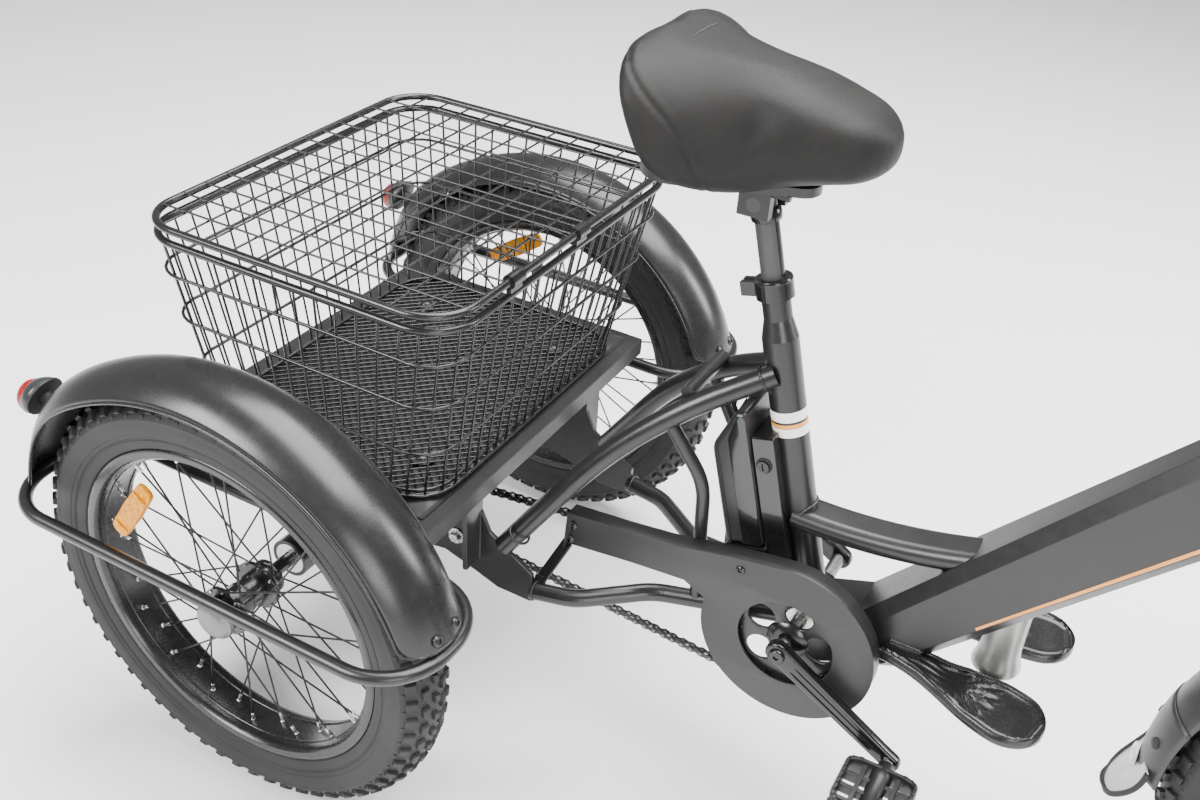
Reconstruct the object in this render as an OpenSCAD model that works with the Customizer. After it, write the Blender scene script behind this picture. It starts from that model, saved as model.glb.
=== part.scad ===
// Adult electric cargo tricycle: one front wheel on a suspension fork, two
// rear wheels on a solid axle line, and a lidded wire basket on a steel deck.
// +X points forward, +Y to the rider's left and +Z up; the wheels stand on Z = 0.

/* [Wheels] */
// Outside radius of every tyre, 20 x 3.0 inch
tyre_r = 279; // [270:1:282]
// Width of every tyre
tyre_w = 76; // [70:1:78]
// Distance from the rear axle to the front axle
wheelbase = 1245; // [1235:1:1260]
// Distance from the middle plane to each rear wheel
half_track = 343; // [340:1:346]
// Number of spokes in each wheel
spoke_count = 36; // [28:4:36]

/* [Frame] */
// Height of the pedal axis
crank_z = 289; // [287:1:290]
// Distance of the pedal axis in front of the rear axle
crank_x = 563; // [561:1:564]
// Angle of the seat tube above the horizontal
seat_angle = 75.1; // [75:0.1:75.4]
// Angle of the steering axis above the horizontal
head_angle = 72; // [71.5:0.1:72.5]
// Distance from the steering axis to the front axle
fork_offset = 45; // [43:1:47]

/* [Drive] */
// Teeth on the chainring
ring_teeth = 42; // [40:1:42]
// Teeth on the rear sprocket
cog_teeth = 14; // [14:1:15]
// Length of a crank arm between its axes
crank_len = 170; // [165:1:170]
// Angle of the right crank arm below the forward horizontal
crank_drop = 31; // [20:1:40]

/* [Rear deck and basket] */
// Height of the deck's upper face
deck_z = 400; // [398:1:402]
// Half the width of the deck
deck_half = 252; // [250:1:252]
// Height of the basket's rim
rim_z = 646; // [640:1:648]
// Height of the lid's frame
lid_z = 667; // [665:1:669]

/* [Seat] */
// Diameter of the seat post
post_d = 25.4; // [25.4:0.1:25.6]
// Height of the pan that carries the saddle pad
saddle_z = 799; // [799:1:802]

/* [Handlebar] */
// Half the width of the handlebar
bar_half = 320; // [300:1:330]
// Diameter of the handlebar
bar_d = 22.2; // [22:0.1:22.4]

/* [Hidden] */
$fn = 48;
play = 0.08;                         // radial clearance of a running fit
rod_fn = 32;
hoop_d = 16;
hoop_end = 288;                      // centre of a hoop's cross bars from the axle
lens_at = [-302, 446];               // middle of a tail lens's rim, in X and Z
lens_len = 8;
rear_end = lens_at[0] - lens_len;
front_end = wheelbase + tyre_r;
mid_x = (rear_end + front_end) / 2;  // the origin lies under the middle of the length

shaft_r = 8.5;
rim_r = 210;
tyre_mid_r = tyre_r - tyre_w / 2;
link = 12.7;
ring_r = link / (2 * sin(180 / ring_teeth));
cog_r = link / (2 * sin(180 / cog_teeth));
chain_y = -70;
guard_y = -82;
guard_r = 104;
guard_hole_r = 57;
crank_y = 98;
pedal_len = 95;
plate_y = 127;
fender_r = 302;
basket_rear = -190;
basket_front = 221;
basket_half = 251;
corner_r = 55;
lid_tube = 9;

post_r = post_d / 2;
seat_top = 413;
saddle_pivot = 500;

crown_low = 378;
head_low = 424;
head_high = 574;
head_tube_r = 23;
leg_y = 62;
leg_x = 38;
front_axle = [wheelbase, 0, tyre_r];

steel_black = [0.06, 0.06, 0.065];
satin_black = [0.10, 0.10, 0.105];
rubber_black = [0.05, 0.05, 0.05];
tyre_grey = [0.14, 0.14, 0.14];
plastic_black = [0.08, 0.08, 0.08];
zinc = [0.72, 0.73, 0.75];
hub_grey = [0.40, 0.41, 0.43];
amber = [0.95, 0.55, 0.08];
lens_red = [0.70, 0.06, 0.05];
vinyl = [0.16, 0.155, 0.15];

// ---- helpers -------------------------------------------------------------

function unit(v) = v / norm(v);
function mirror_y(points) = [for (p = points) [p[0], -p[1], p[2]]];

// Everything is laid out from the point on the ground under the rear axle.
module from_rear_axle() {
    translate([-mid_x, 0, 0]) children();
}

// Z runs up the seat tube from the pedal axis, X square to it, forward.
module on_seat_tube() {
    from_rear_axle() translate([crank_x, 0, crank_z]) rotate([0, seat_angle - 90, 0]) children();
}

// Z runs up the steering axis, level with the front axle at X = fork_offset.
module on_steering_axis() {
    from_rear_axle() translate(front_axle) rotate([0, head_angle - 90, 0])
        translate([-fork_offset, 0, 0]) children();
}

module both_sides() {
    children();
    mirror([0, 1, 0]) children();
}

// Lays a shape drawn in X and Y upright, in the X-Z plane, its height along -Y.
module upright() {
    rotate([90, 0, 0]) children();
}

// A straight round bar between two points, hollow when wall is more than 0.
module rod(a, b, d, wall = 0) {
    v = b - a;
    heading = atan2(v[1], v[0]);
    lean = acos(v[2] / norm(v));
    translate(a) rotate([0, lean, heading]) linear_extrude(norm(v)) ring_profile(d, wall);
}

module ring_profile(d, wall) {
    difference() {
        circle(d = d, $fn = rod_fn);
        if (wall > 0) circle(d = d - 2 * wall, $fn = rod_fn);
    }
}

// A round tube along points, with every inner corner rounded to the bend radius.
module bent_tube(points, bend, d, wall = 0) {
    last = len(points) - 1;
    way = [for (i = [0 : last - 1]) unit(points[i + 1] - points[i])];
    turn = [for (i = [1 : last - 1]) acos(way[i - 1] * way[i])];
    cut = [for (i = [0 : last]) (i == 0 || i == last) ? 0 : bend * tan(turn[i - 1] / 2)];
    for (i = [0 : last - 1])
        rod(points[i] + way[i] * cut[i], points[i + 1] - way[i] * cut[i + 1], d, wall);
    for (i = [1 : last - 1])
        bend_arc(points[i], way[i - 1], way[i], bend, turn[i - 1], d, wall);
}

module bend_arc(corner, way_in, way_out, bend, angle, d, wall) {
    centre = corner + unit(way_out - way_in) * bend / cos(angle / 2);
    out = unit(corner - way_in * bend * tan(angle / 2) - centre);
    up = cross(out, way_in);
    multmatrix([
        [out[0], way_in[0], up[0], centre[0]],
        [out[1], way_in[1], up[1], centre[1]],
        [out[2], way_in[2], up[2], centre[2]],
        [0, 0, 0, 1]
    ]) rotate_extrude(angle = angle, $fn = 96) translate([bend, 0]) ring_profile(d, wall);
}

// The points of one rounded corner, between the directions a and b.
function fillet(corner, a, b, bend, steps) =
    let (angle = acos(a * b))
    let (centre = corner + unit(b - a) * bend / cos(angle / 2))
    let (out = unit(corner - a * bend * tan(angle / 2) - centre))
    [for (k = [0 : steps]) centre + bend * (out * cos(angle * k / steps) + a * sin(angle * k / steps))];

// A path with every inner corner rounded.
function smooth_path(p, bend, steps = 6) = concat(
    [p[0]],
    [for (i = [1 : len(p) - 2]) each fillet(p[i], unit(p[i] - p[i - 1]), unit(p[i + 1] - p[i]), bend, steps)],
    [p[len(p) - 1]]
);

function heading(path, i) = unit(path[min(i + 1, len(path) - 1)] - path[max(i - 1, 0)]);

// A closed solid through a row of rings of points; every ring has the same number of points.
module loft(rings) {
    n = len(rings[0]);
    total = n * len(rings);
    walls = [for (i = [0 : len(rings) - 2]) for (k = [0 : n - 1])
        [i * n + k, (i + 1) * n + k, (i + 1) * n + (k + 1) % n, i * n + (k + 1) % n]];
    ends = [[for (k = [0 : n - 1]) k], [for (k = [0 : n - 1]) total - 1 - k]];
    polyhedron([for (ring = rings) each ring], concat(walls, ends));
}

// A solid round bar swept along a path; ref is any direction that the path never takes.
module swept_bar(path, d, ref, sides = 20) {
    loft([for (i = [0 : len(path) - 1])
        let (w = heading(path, i), u = unit(cross(ref, w)), v = cross(w, u))
        [for (k = [0 : sides - 1]) path[i] + d / 2 * (cos(360 * k / sides) * u + sin(360 * k / sides) * v)]]);
}

// A closed rounded rectangle of round wire, level at height z.
module wire_frame(x0, x1, half_y, r, d) {
    for (s = [-1, 1]) {
        rod([x0 + r, s * half_y, 0], [x1 - r, s * half_y, 0], d);
        for (e = [0, 1])
            translate([e ? x1 - r : x0 + r, s * (half_y - r), 0])
                rotate([0, 0, e ? (s > 0 ? 0 : -90) : (s > 0 ? 90 : 180)])
                    rotate_extrude(angle = 90) translate([r, 0]) circle(d = d, $fn = rod_fn);
    }
    rod([x0, r - half_y, 0], [x0, half_y - r, 0], d);
    rod([x1, r - half_y, 0], [x1, half_y - r, 0], d);
}

// Four corner posts that a hull turns into a rounded slab.
module corner_posts(x0, x1, half_y, r, z, h) {
    for (x = [x0 + r, x1 - r]) for (y = [r - half_y, half_y - r])
        translate([x, y, z]) cylinder(r = r, h = h, $fn = rod_fn);
}

// ---- frame tubes ---------------------------------------------------------

seat_tube_r = 20;
neck_r = 15.5;
neck_z = 367;
shell_half = 34;

module seat_tube() color(satin_black) on_seat_tube() difference() {
    union() {
        cylinder(r = seat_tube_r, h = neck_z - 22);
        translate([0, 0, neck_z - 22]) cylinder(r1 = seat_tube_r, r2 = neck_r, h = 22);
        translate([0, 0, neck_z]) cylinder(r = neck_r, h = seat_top - neck_z);
        upright() translate([0, 0, -shell_half]) cylinder(r = 22, h = 2 * shell_half);
    }
    translate([0, 0, neck_z - 6]) cylinder(r = post_r + play, h = 60);
    translate([0, 0, 24]) cylinder(r = seat_tube_r - 2.5, h = neck_z - 54);
    translate([0, 0, 24 + neck_z - 54]) cylinder(r1 = seat_tube_r - 2.5, r2 = post_r + play, h = 24);
    upright() translate([0, 0, -shell_half - 1]) cylinder(r = 17, h = 2 * shell_half + 2);
    translate([-neck_r - 2, -1, seat_top - 30]) cube([neck_r, 2, 40]);
}

// The down tube's section: flat sides with bevelled corners.
function tube_section(half_w, half_h, bevel) = [
    [-half_h, bevel - half_w], [bevel - half_h, -half_w], [half_h - bevel, -half_w],
    [half_h, bevel - half_w], [half_h, half_w - bevel], [half_h - bevel, half_w],
    [bevel - half_h, half_w], [-half_h, half_w - bevel]
];
// centre, slope, half width and half height of its three stations
down_stations = [
    [[566, 0, 264], 22, 45, 40],
    [[650, 0, 300], 44, 45, 38],
    [[1038, 0, 738], 48.5, 27, 54]
];

tube_bevel = 14;
tube_wall = 3;

// One station's outline, drawn skin inside the tube's face and moved on along its slope.
function station_ring(i, skin, on = 0) =
    let (s = down_stations[i])
    let (way = [cos(s[1]), 0, sin(s[1])], down = [sin(s[1]), 0, -cos(s[1])])
    [for (p = tube_section(s[2] - skin, s[3] - skin, tube_bevel)) s[0] + on * way + p[0] * down + [0, p[1], 0]];

module down_tube() color(satin_black) from_rear_axle() difference() {
    loft([station_ring(0, 0), station_ring(1, 0), station_ring(2, 0)]);
    loft([station_ring(0, tube_wall, 4), station_ring(1, tube_wall), station_ring(2, tube_wall, -4)]);
    translate([crank_x, shell_half + 20, crank_z]) upright() cylinder(r = 21, h = 2 * shell_half + 40);
    translate(front_axle) rotate([0, head_angle - 90, 0]) translate([-fork_offset, 0, head_low - 20])
        cylinder(r = head_tube_r - 1, h = head_high - head_low + 40);
}

brace_r = 600;
brace_low = [550, 411];              // lowest point of the curve
brace_span = [-92.2, -71.5];           // its two ends, as angles about the centre
brace_w = 50;
brace_h = 26;

module brace_section() {
    for (s = [-1, 1]) translate([0, s * (brace_w - brace_h) / 2]) circle(d = brace_h);
    translate([-brace_h / 2, (brace_h - brace_w) / 2]) square([brace_h, brace_w - brace_h]);
}

module brace_tube() color(satin_black) from_rear_axle() difference() {
    translate([brace_low[0], 0, brace_low[1] + brace_r]) upright()
        rotate([0, 0, brace_span[0]])
            rotate_extrude(angle = brace_span[1] - brace_span[0], $fn = 180)
                translate([brace_r, 0]) brace_section();
    loft([station_ring(1, -0.1), station_ring(2, -0.1)]);
}

module head_tube() color(satin_black) on_steering_axis() translate([0, 0, head_low]) difference() {
    cylinder(r = head_tube_r, h = head_high - head_low);
    translate([0, 0, -1]) cylinder(r = 19, h = head_high - head_low + 2);
}

stay_path = [[216, -plate_y, 304], [349, -74, 501], [482, -16, 585]];

module seat_stays() color(satin_black) difference() {
    from_rear_axle() both_sides() bent_tube(stay_path, 560, 25, 2.5);
    on_seat_tube() translate([0, 0, 200]) cylinder(r = seat_tube_r - 1, h = 180);
}

chain_stay_path = [[256, -plate_y, 253], [310, -116, 256], [385, -58, 262], [544, -30, 284]];

module chain_stays() color(satin_black) from_rear_axle() both_sides()
    swept_bar(smooth_path(chain_stay_path, 70), 22, [0, 0, 1]);

strut_path = [[378, -60, 520], [430, -50, 440], [438, -49, 272]];
bridge_at = [396, 46, 546];           // left end of the bar between the stays
strut_d = 16;

module stay_struts() color(satin_black) from_rear_axle() {
    both_sides() swept_bar(smooth_path(strut_path, 90), strut_d, [0, 1, 0]);
    rod([bridge_at[0], -bridge_at[1], bridge_at[2]], bridge_at, strut_d);
}

plate_t = 6;
plate_outline = [
    [258, 237], [258, 278], [197, 317], [184, 345], [184, deck_z - 3], [-110, deck_z - 3],
    [-60, 320], [-34, 250], [34, 246], [132, 262], [166, 252], [210, 237]
];

module drop_plates() color(satin_black) from_rear_axle() both_sides() {
    difference() {
        translate([0, plate_t / 2 - plate_y, 0]) upright() linear_extrude(plate_t) polygon(plate_outline);
        translate([0, -plate_y + plate_t, tyre_r]) upright() cylinder(r = 25, h = 2 * plate_t);
        translate([120, -plate_y + plate_t, 325]) upright() cylinder(r = 13, h = 2 * plate_t);
    }
    translate([178, -plate_y - 32, 272]) cube([6, 30, deck_z - 24 - 272]);
}

// ---- rear axle -----------------------------------------------------------

housing_r = 25;
housing_bore = 20;
// start and end along Y of the two lengths of housing, either side of the sprocket
housing_spans = [[-262, -92], [-48, 262]];

module tube_y(y0, y1, r, bore) {
    translate([0, y1, 0]) upright() difference() {
        cylinder(r = r, h = y1 - y0);
        translate([0, 0, -1]) cylinder(r = bore, h = y1 - y0 + 2);
    }
}

module axle_housing() color(satin_black) from_rear_axle() translate([0, 0, tyre_r])
    for (span = housing_spans) tube_y(span[0], span[1], housing_r, housing_bore);

bearing_w = 12;

module bearings() color(zinc) {
    from_rear_axle() translate([0, 0, tyre_r]) for (span = housing_spans) {
        tube_y(span[0], span[0] + bearing_w, housing_bore, shaft_r + play);
        tube_y(span[1] - bearing_w, span[1], housing_bore, shaft_r + play);
    }
    from_rear_axle() translate([crank_x, 0, crank_z]) {
        tube_y(-shell_half - 3, -shell_half + 16, 17, shaft_r + play);
        tube_y(shell_half - 16, shell_half + 3, 17, shaft_r + play);
    }
    on_steering_axis() for (z = [head_low - 9, head_high]) translate([0, 0, z]) difference() {
        cylinder(r = 24, h = 9);
        translate([0, 0, -1]) cylinder(r = 14.3 + play, h = 11);
    }
}

// ---- deck and basket -----------------------------------------------------

deck_rear = -191;
deck_front = 197;
deck_lip = 24;
sheet = 2.5;

module rear_deck() color(satin_black) from_rear_axle() difference() {
    translate([deck_rear, -deck_half, deck_z - deck_lip])
        cube([deck_front - deck_rear, 2 * deck_half, deck_lip]);
    translate([deck_rear + sheet, sheet - deck_half, deck_z - deck_lip - 1])
        cube([deck_front - deck_rear - 2 * sheet, 2 * (deck_half - sheet), deck_lip + 1 - sheet]);
}

basket_floor = [-158, 176, 222];     // rear, front and half width of the floor
floor_z = deck_z + 3;

module basket() color(steel_black) from_rear_axle() difference() {
    hull() {
        corner_posts(basket_floor[0], basket_floor[1], basket_floor[2], corner_r, floor_z, 1);
        corner_posts(basket_rear, basket_front, basket_half, corner_r, rim_z - 1, 1);
    }
    hull() {
        corner_posts(basket_floor[0] + 3, basket_floor[1] - 3, basket_floor[2] - 3, corner_r - 3,
            floor_z + 3, 1);
        corner_posts(basket_rear + 3, basket_front - 3, basket_half - 3, corner_r - 3, rim_z, 1);
    }
}

hinge_y = [-126, 10];                 // middle of each loop that carries the lid's front bar
hinge_len = 22;
hinge_r = 8;

module basket_rim() color(steel_black) from_rear_axle() {
    translate([0, 0, rim_z + lid_tube / 2])
        wire_frame(basket_rear, basket_front, basket_half, corner_r, lid_tube);
    for (y = hinge_y) translate([basket_front, y, 0]) difference() {
        union() {
            translate([0, 0, lid_z]) tube_solid(-hinge_len / 2, hinge_len / 2, hinge_r);
            translate([-3, -hinge_len / 2, rim_z + lid_tube - 3])
                cube([6, hinge_len, lid_z - rim_z - lid_tube]);
        }
        translate([0, 0, lid_z]) tube_solid(-hinge_len, hinge_len, lid_tube / 2 + play);
    }
}

lid_pitch = 34;
lid_wire = 2.6;

// The wires along X end in the frame's bars, just above the wires along Y.
module basket_lid() color(steel_black) from_rear_axle() translate([0, 0, lid_z]) {
    wire_frame(basket_rear, basket_front, basket_half, corner_r, lid_tube);
    for (x = [basket_rear + 35 : lid_pitch : basket_front - 20])
        rod([x, -basket_half, 0], [x, basket_half, 0], lid_wire);
    for (y = [40 - basket_half : lid_pitch : basket_half - 35])
        rod([basket_rear, y, 3], [basket_front, y, 3], lid_wire);
}

// ---- rear fenders, hoops and lights --------------------------------------

fender_half = 50;
fender_curve = 62;
fender_low = 16.5;                    // angle of the front tip above the axle

// The fender's cross-section: a shallow arch open towards the axle.
module fender_section(apex, curve, half, thick) {
    translate([apex - curve, 0]) intersection() {
        difference() {
            circle(r = curve, $fn = 96);
            circle(r = curve - thick, $fn = 96);
        }
        translate([0, -half]) square([2 * curve, 2 * half]);
    }
}

module rear_fenders() color(satin_black) from_rear_axle() both_sides()
    translate([0, -half_track, tyre_r]) upright()
        rotate([0, 0, fender_low]) rotate_extrude(angle = 167 - fender_low, $fn = 180)
            fender_section(fender_r, fender_curve, fender_half, 2);

hoop_z = 350;
hoop_reach = 80;
hoop_corner = 72;

module guard_hoops() color(satin_black) from_rear_axle() both_sides() {
    translate([0, -half_track, hoop_z]) wire_frame(-hoop_end, hoop_end, hoop_reach, hoop_corner, hoop_d);
    for (x = [-130, 130])
        translate([x - 12, -half_track + hoop_reach - 2, hoop_z - 4])
            cube([24, half_track - hoop_reach + 2 - deck_half, 34]);
}

light_angle = 148;
light_tilt = 161;                     // the gasket leans less than the fender under it
light_r = 24.5;
lens_r = 17.5;
foot_h = 25;                          // from the fender to the middle of the gasket

module at_tail_light() {
    from_rear_axle() both_sides() translate([0, -half_track, tyre_r])
        rotate([0, -light_angle, 0]) translate([fender_r, 0, 0]) rotate([0, 90, 0]) children();
}

light_base = [
    (fender_r + foot_h) * cos(light_angle), -half_track,
    tyre_r + (fender_r + foot_h) * sin(light_angle)
];

// A ring of the housing, from its base (f = 0) to the lens (f = 1), turning to face straight back.
function light_ring(f, r) =
    let (turned = light_tilt + f * (180 - light_tilt))
    let (middle = light_base + f * ([lens_at[0], -half_track, lens_at[1]] - light_base))
    [for (k = [0 : rod_fn - 1]) let (a = 360 * k / rod_fn)
        middle + [-r * sin(a) * sin(turned), r * cos(a), r * sin(a) * cos(turned)]];

module tail_light_housings() color(hub_grey) {
    at_tail_light() translate([0, 0, 0.5]) cylinder(r = 9, h = foot_h + 0.5);
    from_rear_axle() both_sides() {
        translate(light_base) rotate([0, 90 - light_tilt, 0]) translate([0, 0, -2.5])
            cylinder(r = light_r + 1, h = 4.5);
        loft([
            light_ring(0, light_r), light_ring(0.3, light_r + 0.3), light_ring(0.6, light_r - 1.5),
            light_ring(0.86, lens_r + 3), light_ring(1, lens_r)
        ]);
    }
}

module tail_light_lenses() color(lens_red) from_rear_axle() both_sides()
    translate([lens_at[0], -half_track, lens_at[1]]) rotate([0, -90, 0]) {
        cylinder(r = lens_r - 0.5, h = 4);
        translate([0, 0, 4]) cylinder(r1 = lens_r - 0.5, r2 = 9, h = lens_len - 4);
    }

// ---- drive ---------------------------------------------------------------

guard_t = 2;
flange_w = 22;
arm_top = [[276, 350], [418, 366], [484, 381], [550, 390]];
arm_low = [[500, 320], [461, 308], [433, 322], [363, 316], [273, 305]];

module guard_outline() difference() {
    union() {
        translate([crank_x, crank_z]) circle(r = guard_r - guard_t / 2, $fn = 96);
        polygon(concat(arm_top, arm_low));
    }
    translate([crank_x, crank_z]) circle(r = guard_hole_r, $fn = 72);
}

// The folded edge follows the top of the arm and the front of the disc.
module guard_flange() {
    translate([crank_x, crank_z]) rotate([0, 0, -35])
        rotate_extrude(angle = 137, $fn = 180) translate([guard_r - guard_t, 0]) square([guard_t, flange_w]);
    linear_extrude(flange_w) polygon(concat(arm_top,
        [for (i = [len(arm_top) - 1 : -1 : 0]) arm_top[i] - [0, guard_t]]));
}

module chain_guard() color(steel_black) from_rear_axle() {
    translate([0, guard_y + guard_t / 2, 0]) upright() linear_extrude(guard_t) guard_outline();
    translate([0, guard_y + flange_w - guard_t / 2, 0]) upright() guard_flange();
    translate([266, guard_y + 1, 262]) cube([18, 3, 58]);
    rod([275, guard_y + 2, 266], [262, -113, 258], 9);
}

// One strand of side plates: a flat strip square to Y, on the tangents and round the wheels.
plate_h = 8;
wrap = asin((ring_r - cog_r) / norm([crank_x, crank_z - tyre_r]));
rise = atan2(crank_z - tyre_r, crank_x);
run = sqrt(pow(crank_x, 2) + pow(crank_z - tyre_r, 2) - pow(ring_r - cog_r, 2));

module round_both_wheels(grow) hull() {
    translate([crank_x, crank_z]) circle(r = ring_r + grow, $fn = 96);
    translate([0, tyre_r]) circle(r = cog_r + grow, $fn = 96);
}

module chain_band(thick) linear_extrude(thick) difference() {
    round_both_wheels(plate_h / 2);
    round_both_wheels(-plate_h / 2);
}

module drive_chain() color(steel_black) from_rear_axle() {
    for (y = [chain_y - 3.2, chain_y + 4.4]) translate([0, y, 0]) upright() chain_band(1.2);
    for (s = [-1, 1]) for (d = [50 : 4 * link : run - 45])
        translate([0, chain_y + 4, tyre_r]) upright() rotate([0, 0, rise + s * wrap])
            translate([d, s * cog_r, 0]) cylinder(r = 2, h = 8);
}

// A toothed disc of the given pitch radius; every second tooth is drawn.
module toothed_disc(pitch_r, teeth, thick) {
    cylinder(r = pitch_r - 3.6, h = thick, $fn = 96);
    for (i = [0 : teeth - 1]) rotate([0, 0, 360 * i / teeth])
        translate([pitch_r - 4.5, -2, 0]) cube([7.5, 4, thick]);
}

module drive_sprocket() color(zinc) from_rear_axle() translate([0, chain_y + 1.1, tyre_r]) difference() {
    union() {
        upright() toothed_disc(cog_r, cog_teeth, 2.2);
        upright() translate([0, 0, -12]) cylinder(r = 17, h = 26);
    }
    upright() translate([0, 0, -13]) cylinder(r = shaft_r + play, h = 30);
}

spider_arms = 5;

module chainring() color(steel_black) from_rear_axle() translate([crank_x, chain_y + 1.1, crank_z])
    rotate([0, crank_drop, 0]) {
        upright() difference() {
            toothed_disc(ring_r, ring_teeth, 2.2);
            translate([0, 0, -1]) cylinder(r = 58, h = 5, $fn = 72);
        }
        upright() translate([0, 0, 2.2]) difference() {
            union() {
                cylinder(r = 24, h = 6);
                for (i = [0 : spider_arms - 1]) rotate([0, 0, 36 + 72 * i])
                    translate([0, -8, 0]) cube([64, 16, 5]);
            }
            translate([0, 0, -1]) cylinder(r = shaft_r, h = 9);
        }
    }

arm_t = 13;

// One crank arm pointing along +X from its own axis, its inner face at Z = 0.
module crank_arm() difference() {
    union() {
        cylinder(r = 16, h = arm_t);
        translate([crank_len, 0, 0]) cylinder(r = 12.5, h = arm_t);
        linear_extrude(arm_t) polygon([
            [0, -14], [crank_len, -10], [crank_len, 10], [0, 14]
        ]);
    }
    translate([0, 0, -1]) cylinder(r = shaft_r, h = arm_t + 2);
}

module crank_arms() color(satin_black) from_rear_axle() translate([crank_x, 0, crank_z])
    rotate([0, crank_drop, 0]) {
        translate([0, -crank_y + arm_t / 2, 0]) upright() crank_arm();
        translate([0, crank_y + arm_t / 2, 0]) upright() rotate([0, 0, 180]) crank_arm();
        tube_solid(-crank_y - 5, crank_y + 5, shaft_r);
        translate([crank_len, 0, 0]) tube_solid(-crank_y - arm_t / 2 - pedal_len, -crank_y - arm_t / 2, 5);
        translate([-crank_len, 0, 0]) tube_solid(crank_y + arm_t / 2, crank_y + arm_t / 2 + pedal_len, 5);
    }

module tube_solid(y0, y1, r) {
    translate([0, y1, 0]) upright() cylinder(r = r, h = y1 - y0);
}

pedal_half = 42;
pedal_h = 26;

// A cage pedal round its own axle line, from Y = 0 outwards along -Y.
module pedal() difference() {
    union() {
        tube_solid(-pedal_len - 3, -3, 12);
        for (x = [-pedal_half, pedal_half - 8])
            translate([x, -pedal_len - 3, -pedal_h / 2]) cube([8, pedal_len, pedal_h]);
        for (y = [-pedal_len - 3, -15]) translate([-pedal_half, y, -pedal_h / 2])
            cube([2 * pedal_half, 12, pedal_h]);
        translate([-pedal_half, -pedal_len / 2 - 9, -9]) cube([2 * pedal_half, 12, 18]);
    }
    tube_solid(-pedal_len - 1, 0, 5 + play);
}

module pedal_right() color(plastic_black) from_rear_axle() translate([crank_x, 0, crank_z])
    translate([crank_len * cos(crank_drop), -crank_y - arm_t / 2, -crank_len * sin(crank_drop)]) pedal();

module pedal_left() color(plastic_black) from_rear_axle() translate([crank_x, 0, crank_z])
    translate([-crank_len * cos(crank_drop), crank_y + arm_t / 2, crank_len * sin(crank_drop)])
        mirror([0, 1, 0]) pedal();

// ---- battery, footrests and controller -----------------------------------

rail_back = 32;
rail_half = 36;
case_half = 40;
case_back = 80;
case_low = 96;
case_side = [
    [-rail_back - 0.5, case_low], [-rail_back - 0.5, 270], [-44, 268], [-case_back, 217], [-case_back, case_low]
];

module battery_rail() color(plastic_black) on_seat_tube() {
    difference() {
        translate([-rail_back, -rail_half, 62]) cube([rail_back - 6, 2 * rail_half, 176]);
        translate([0, 0, 61]) cylinder(r = seat_tube_r - 1, h = 178);
    }
    translate([-case_back, -case_half, 62]) cube([case_back - rail_back + 2, 2 * case_half, 33]);
}

module battery_case() color(plastic_black) on_seat_tube()
    translate([0, case_half, 0]) upright() linear_extrude(2 * case_half) polygon(case_side);

module key_lock() color(zinc) on_seat_tube() translate([-20, -rail_half - 0.4, 204]) upright()
    difference() {
        cylinder(r = 7, h = 4);
        translate([-1, -4.5, 2.5]) cube([2, 9, 4]);
    }

// Each footrest is a tongue that widens to a round fan, under the down tube.
rest_root = [684, -44, 300];
rest_tip = [808, -71.5, 296];

module footrests() color(plastic_black) from_rear_axle() both_sides() {
    hull() {
        translate(rest_root) cylinder(r = 24, h = 12, $fn = rod_fn);
        translate(rest_tip) cylinder(r = 41.5, h = 12, $fn = rod_fn);
    }
    translate([664, -50, 306]) cube([40, 50, 16]);
}

pod_at = [778, 0, 305];

module controller_pod() color(hub_grey) from_rear_axle() translate(pod_at) {
    cylinder(r1 = 27, r2 = 22, h = 26);
    translate([0, 0, 26]) cylinder(r = 22, h = 90);
}

// ---- clamps and fasteners ------------------------------------------------

module seat_clamp() color(steel_black) on_seat_tube() translate([0, 0, seat_top - 22]) {
    difference() {
        union() {
            cylinder(r = neck_r + 5, h = 20);
            for (s = [-1, 1]) translate([-neck_r - 20, s * 5 - 3.5, 2]) cube([18, 7, 16]);
        }
        translate([0, 0, -1]) cylinder(r = neck_r, h = 22);
        translate([-neck_r - 6, -1.4, -1]) cube([8, 2.8, 22]);
    }
}

// A hexagon-headed bolt along -Y, its head seated on the plane Y = 0.
module bolt(shank, shank_r, head_r) {
    upright() cylinder(r = head_r, h = head_r * 0.7, $fn = 6);
    translate([0, shank, 0]) upright() cylinder(r = shank_r, h = shank);
}

fender_bolt_y = 16;

module fasteners() color(zinc) {
    from_rear_axle() both_sides() {
        translate([150, -plate_y - plate_t / 2, 292]) bolt(16, 4, 8);
        translate([60, -plate_y - plate_t / 2, 385]) bolt(16, 4, 8);
        for (s = [-1, 1]) translate([hoop_end - 1, -half_track + s * fender_bolt_y, hoop_z + 2])
            cylinder(r = 4, h = 22);
        for (x = [-95, 115]) translate([x, -150, floor_z + 2.8]) {
            cylinder(r = 14, h = 2.2);
            translate([0, 0, -10]) cylinder(r = 3, h = 14);
        }
    }
    on_seat_tube() translate([-neck_r - 13, -9, seat_top - 12]) bolt(20, 3, 6);
    on_seat_tube() translate([-neck_r - 13, 8.5, seat_top - 12]) upright() translate([0, 0, -5])
        cylinder(r = 6, h = 5, $fn = 6);
}

// ---- wheels --------------------------------------------------------------

// Every wheel part is drawn round its own axle, lying along Y, at the origin.
module tyre_ring() upright() rotate_extrude($fn = 180) translate([tyre_mid_r, 0]) difference() {
    circle(r = tyre_w / 2, $fn = 72);
    circle(r = tyre_w / 2 - 6, $fn = 72);
    translate([-tyre_w, -21]) square([tyre_w, 42]);
    translate([rim_r - tyre_mid_r - 60 - 0.3, -60]) square([60, 120]);
}

rim_half = 29;
rim_well_r = 194;

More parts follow.
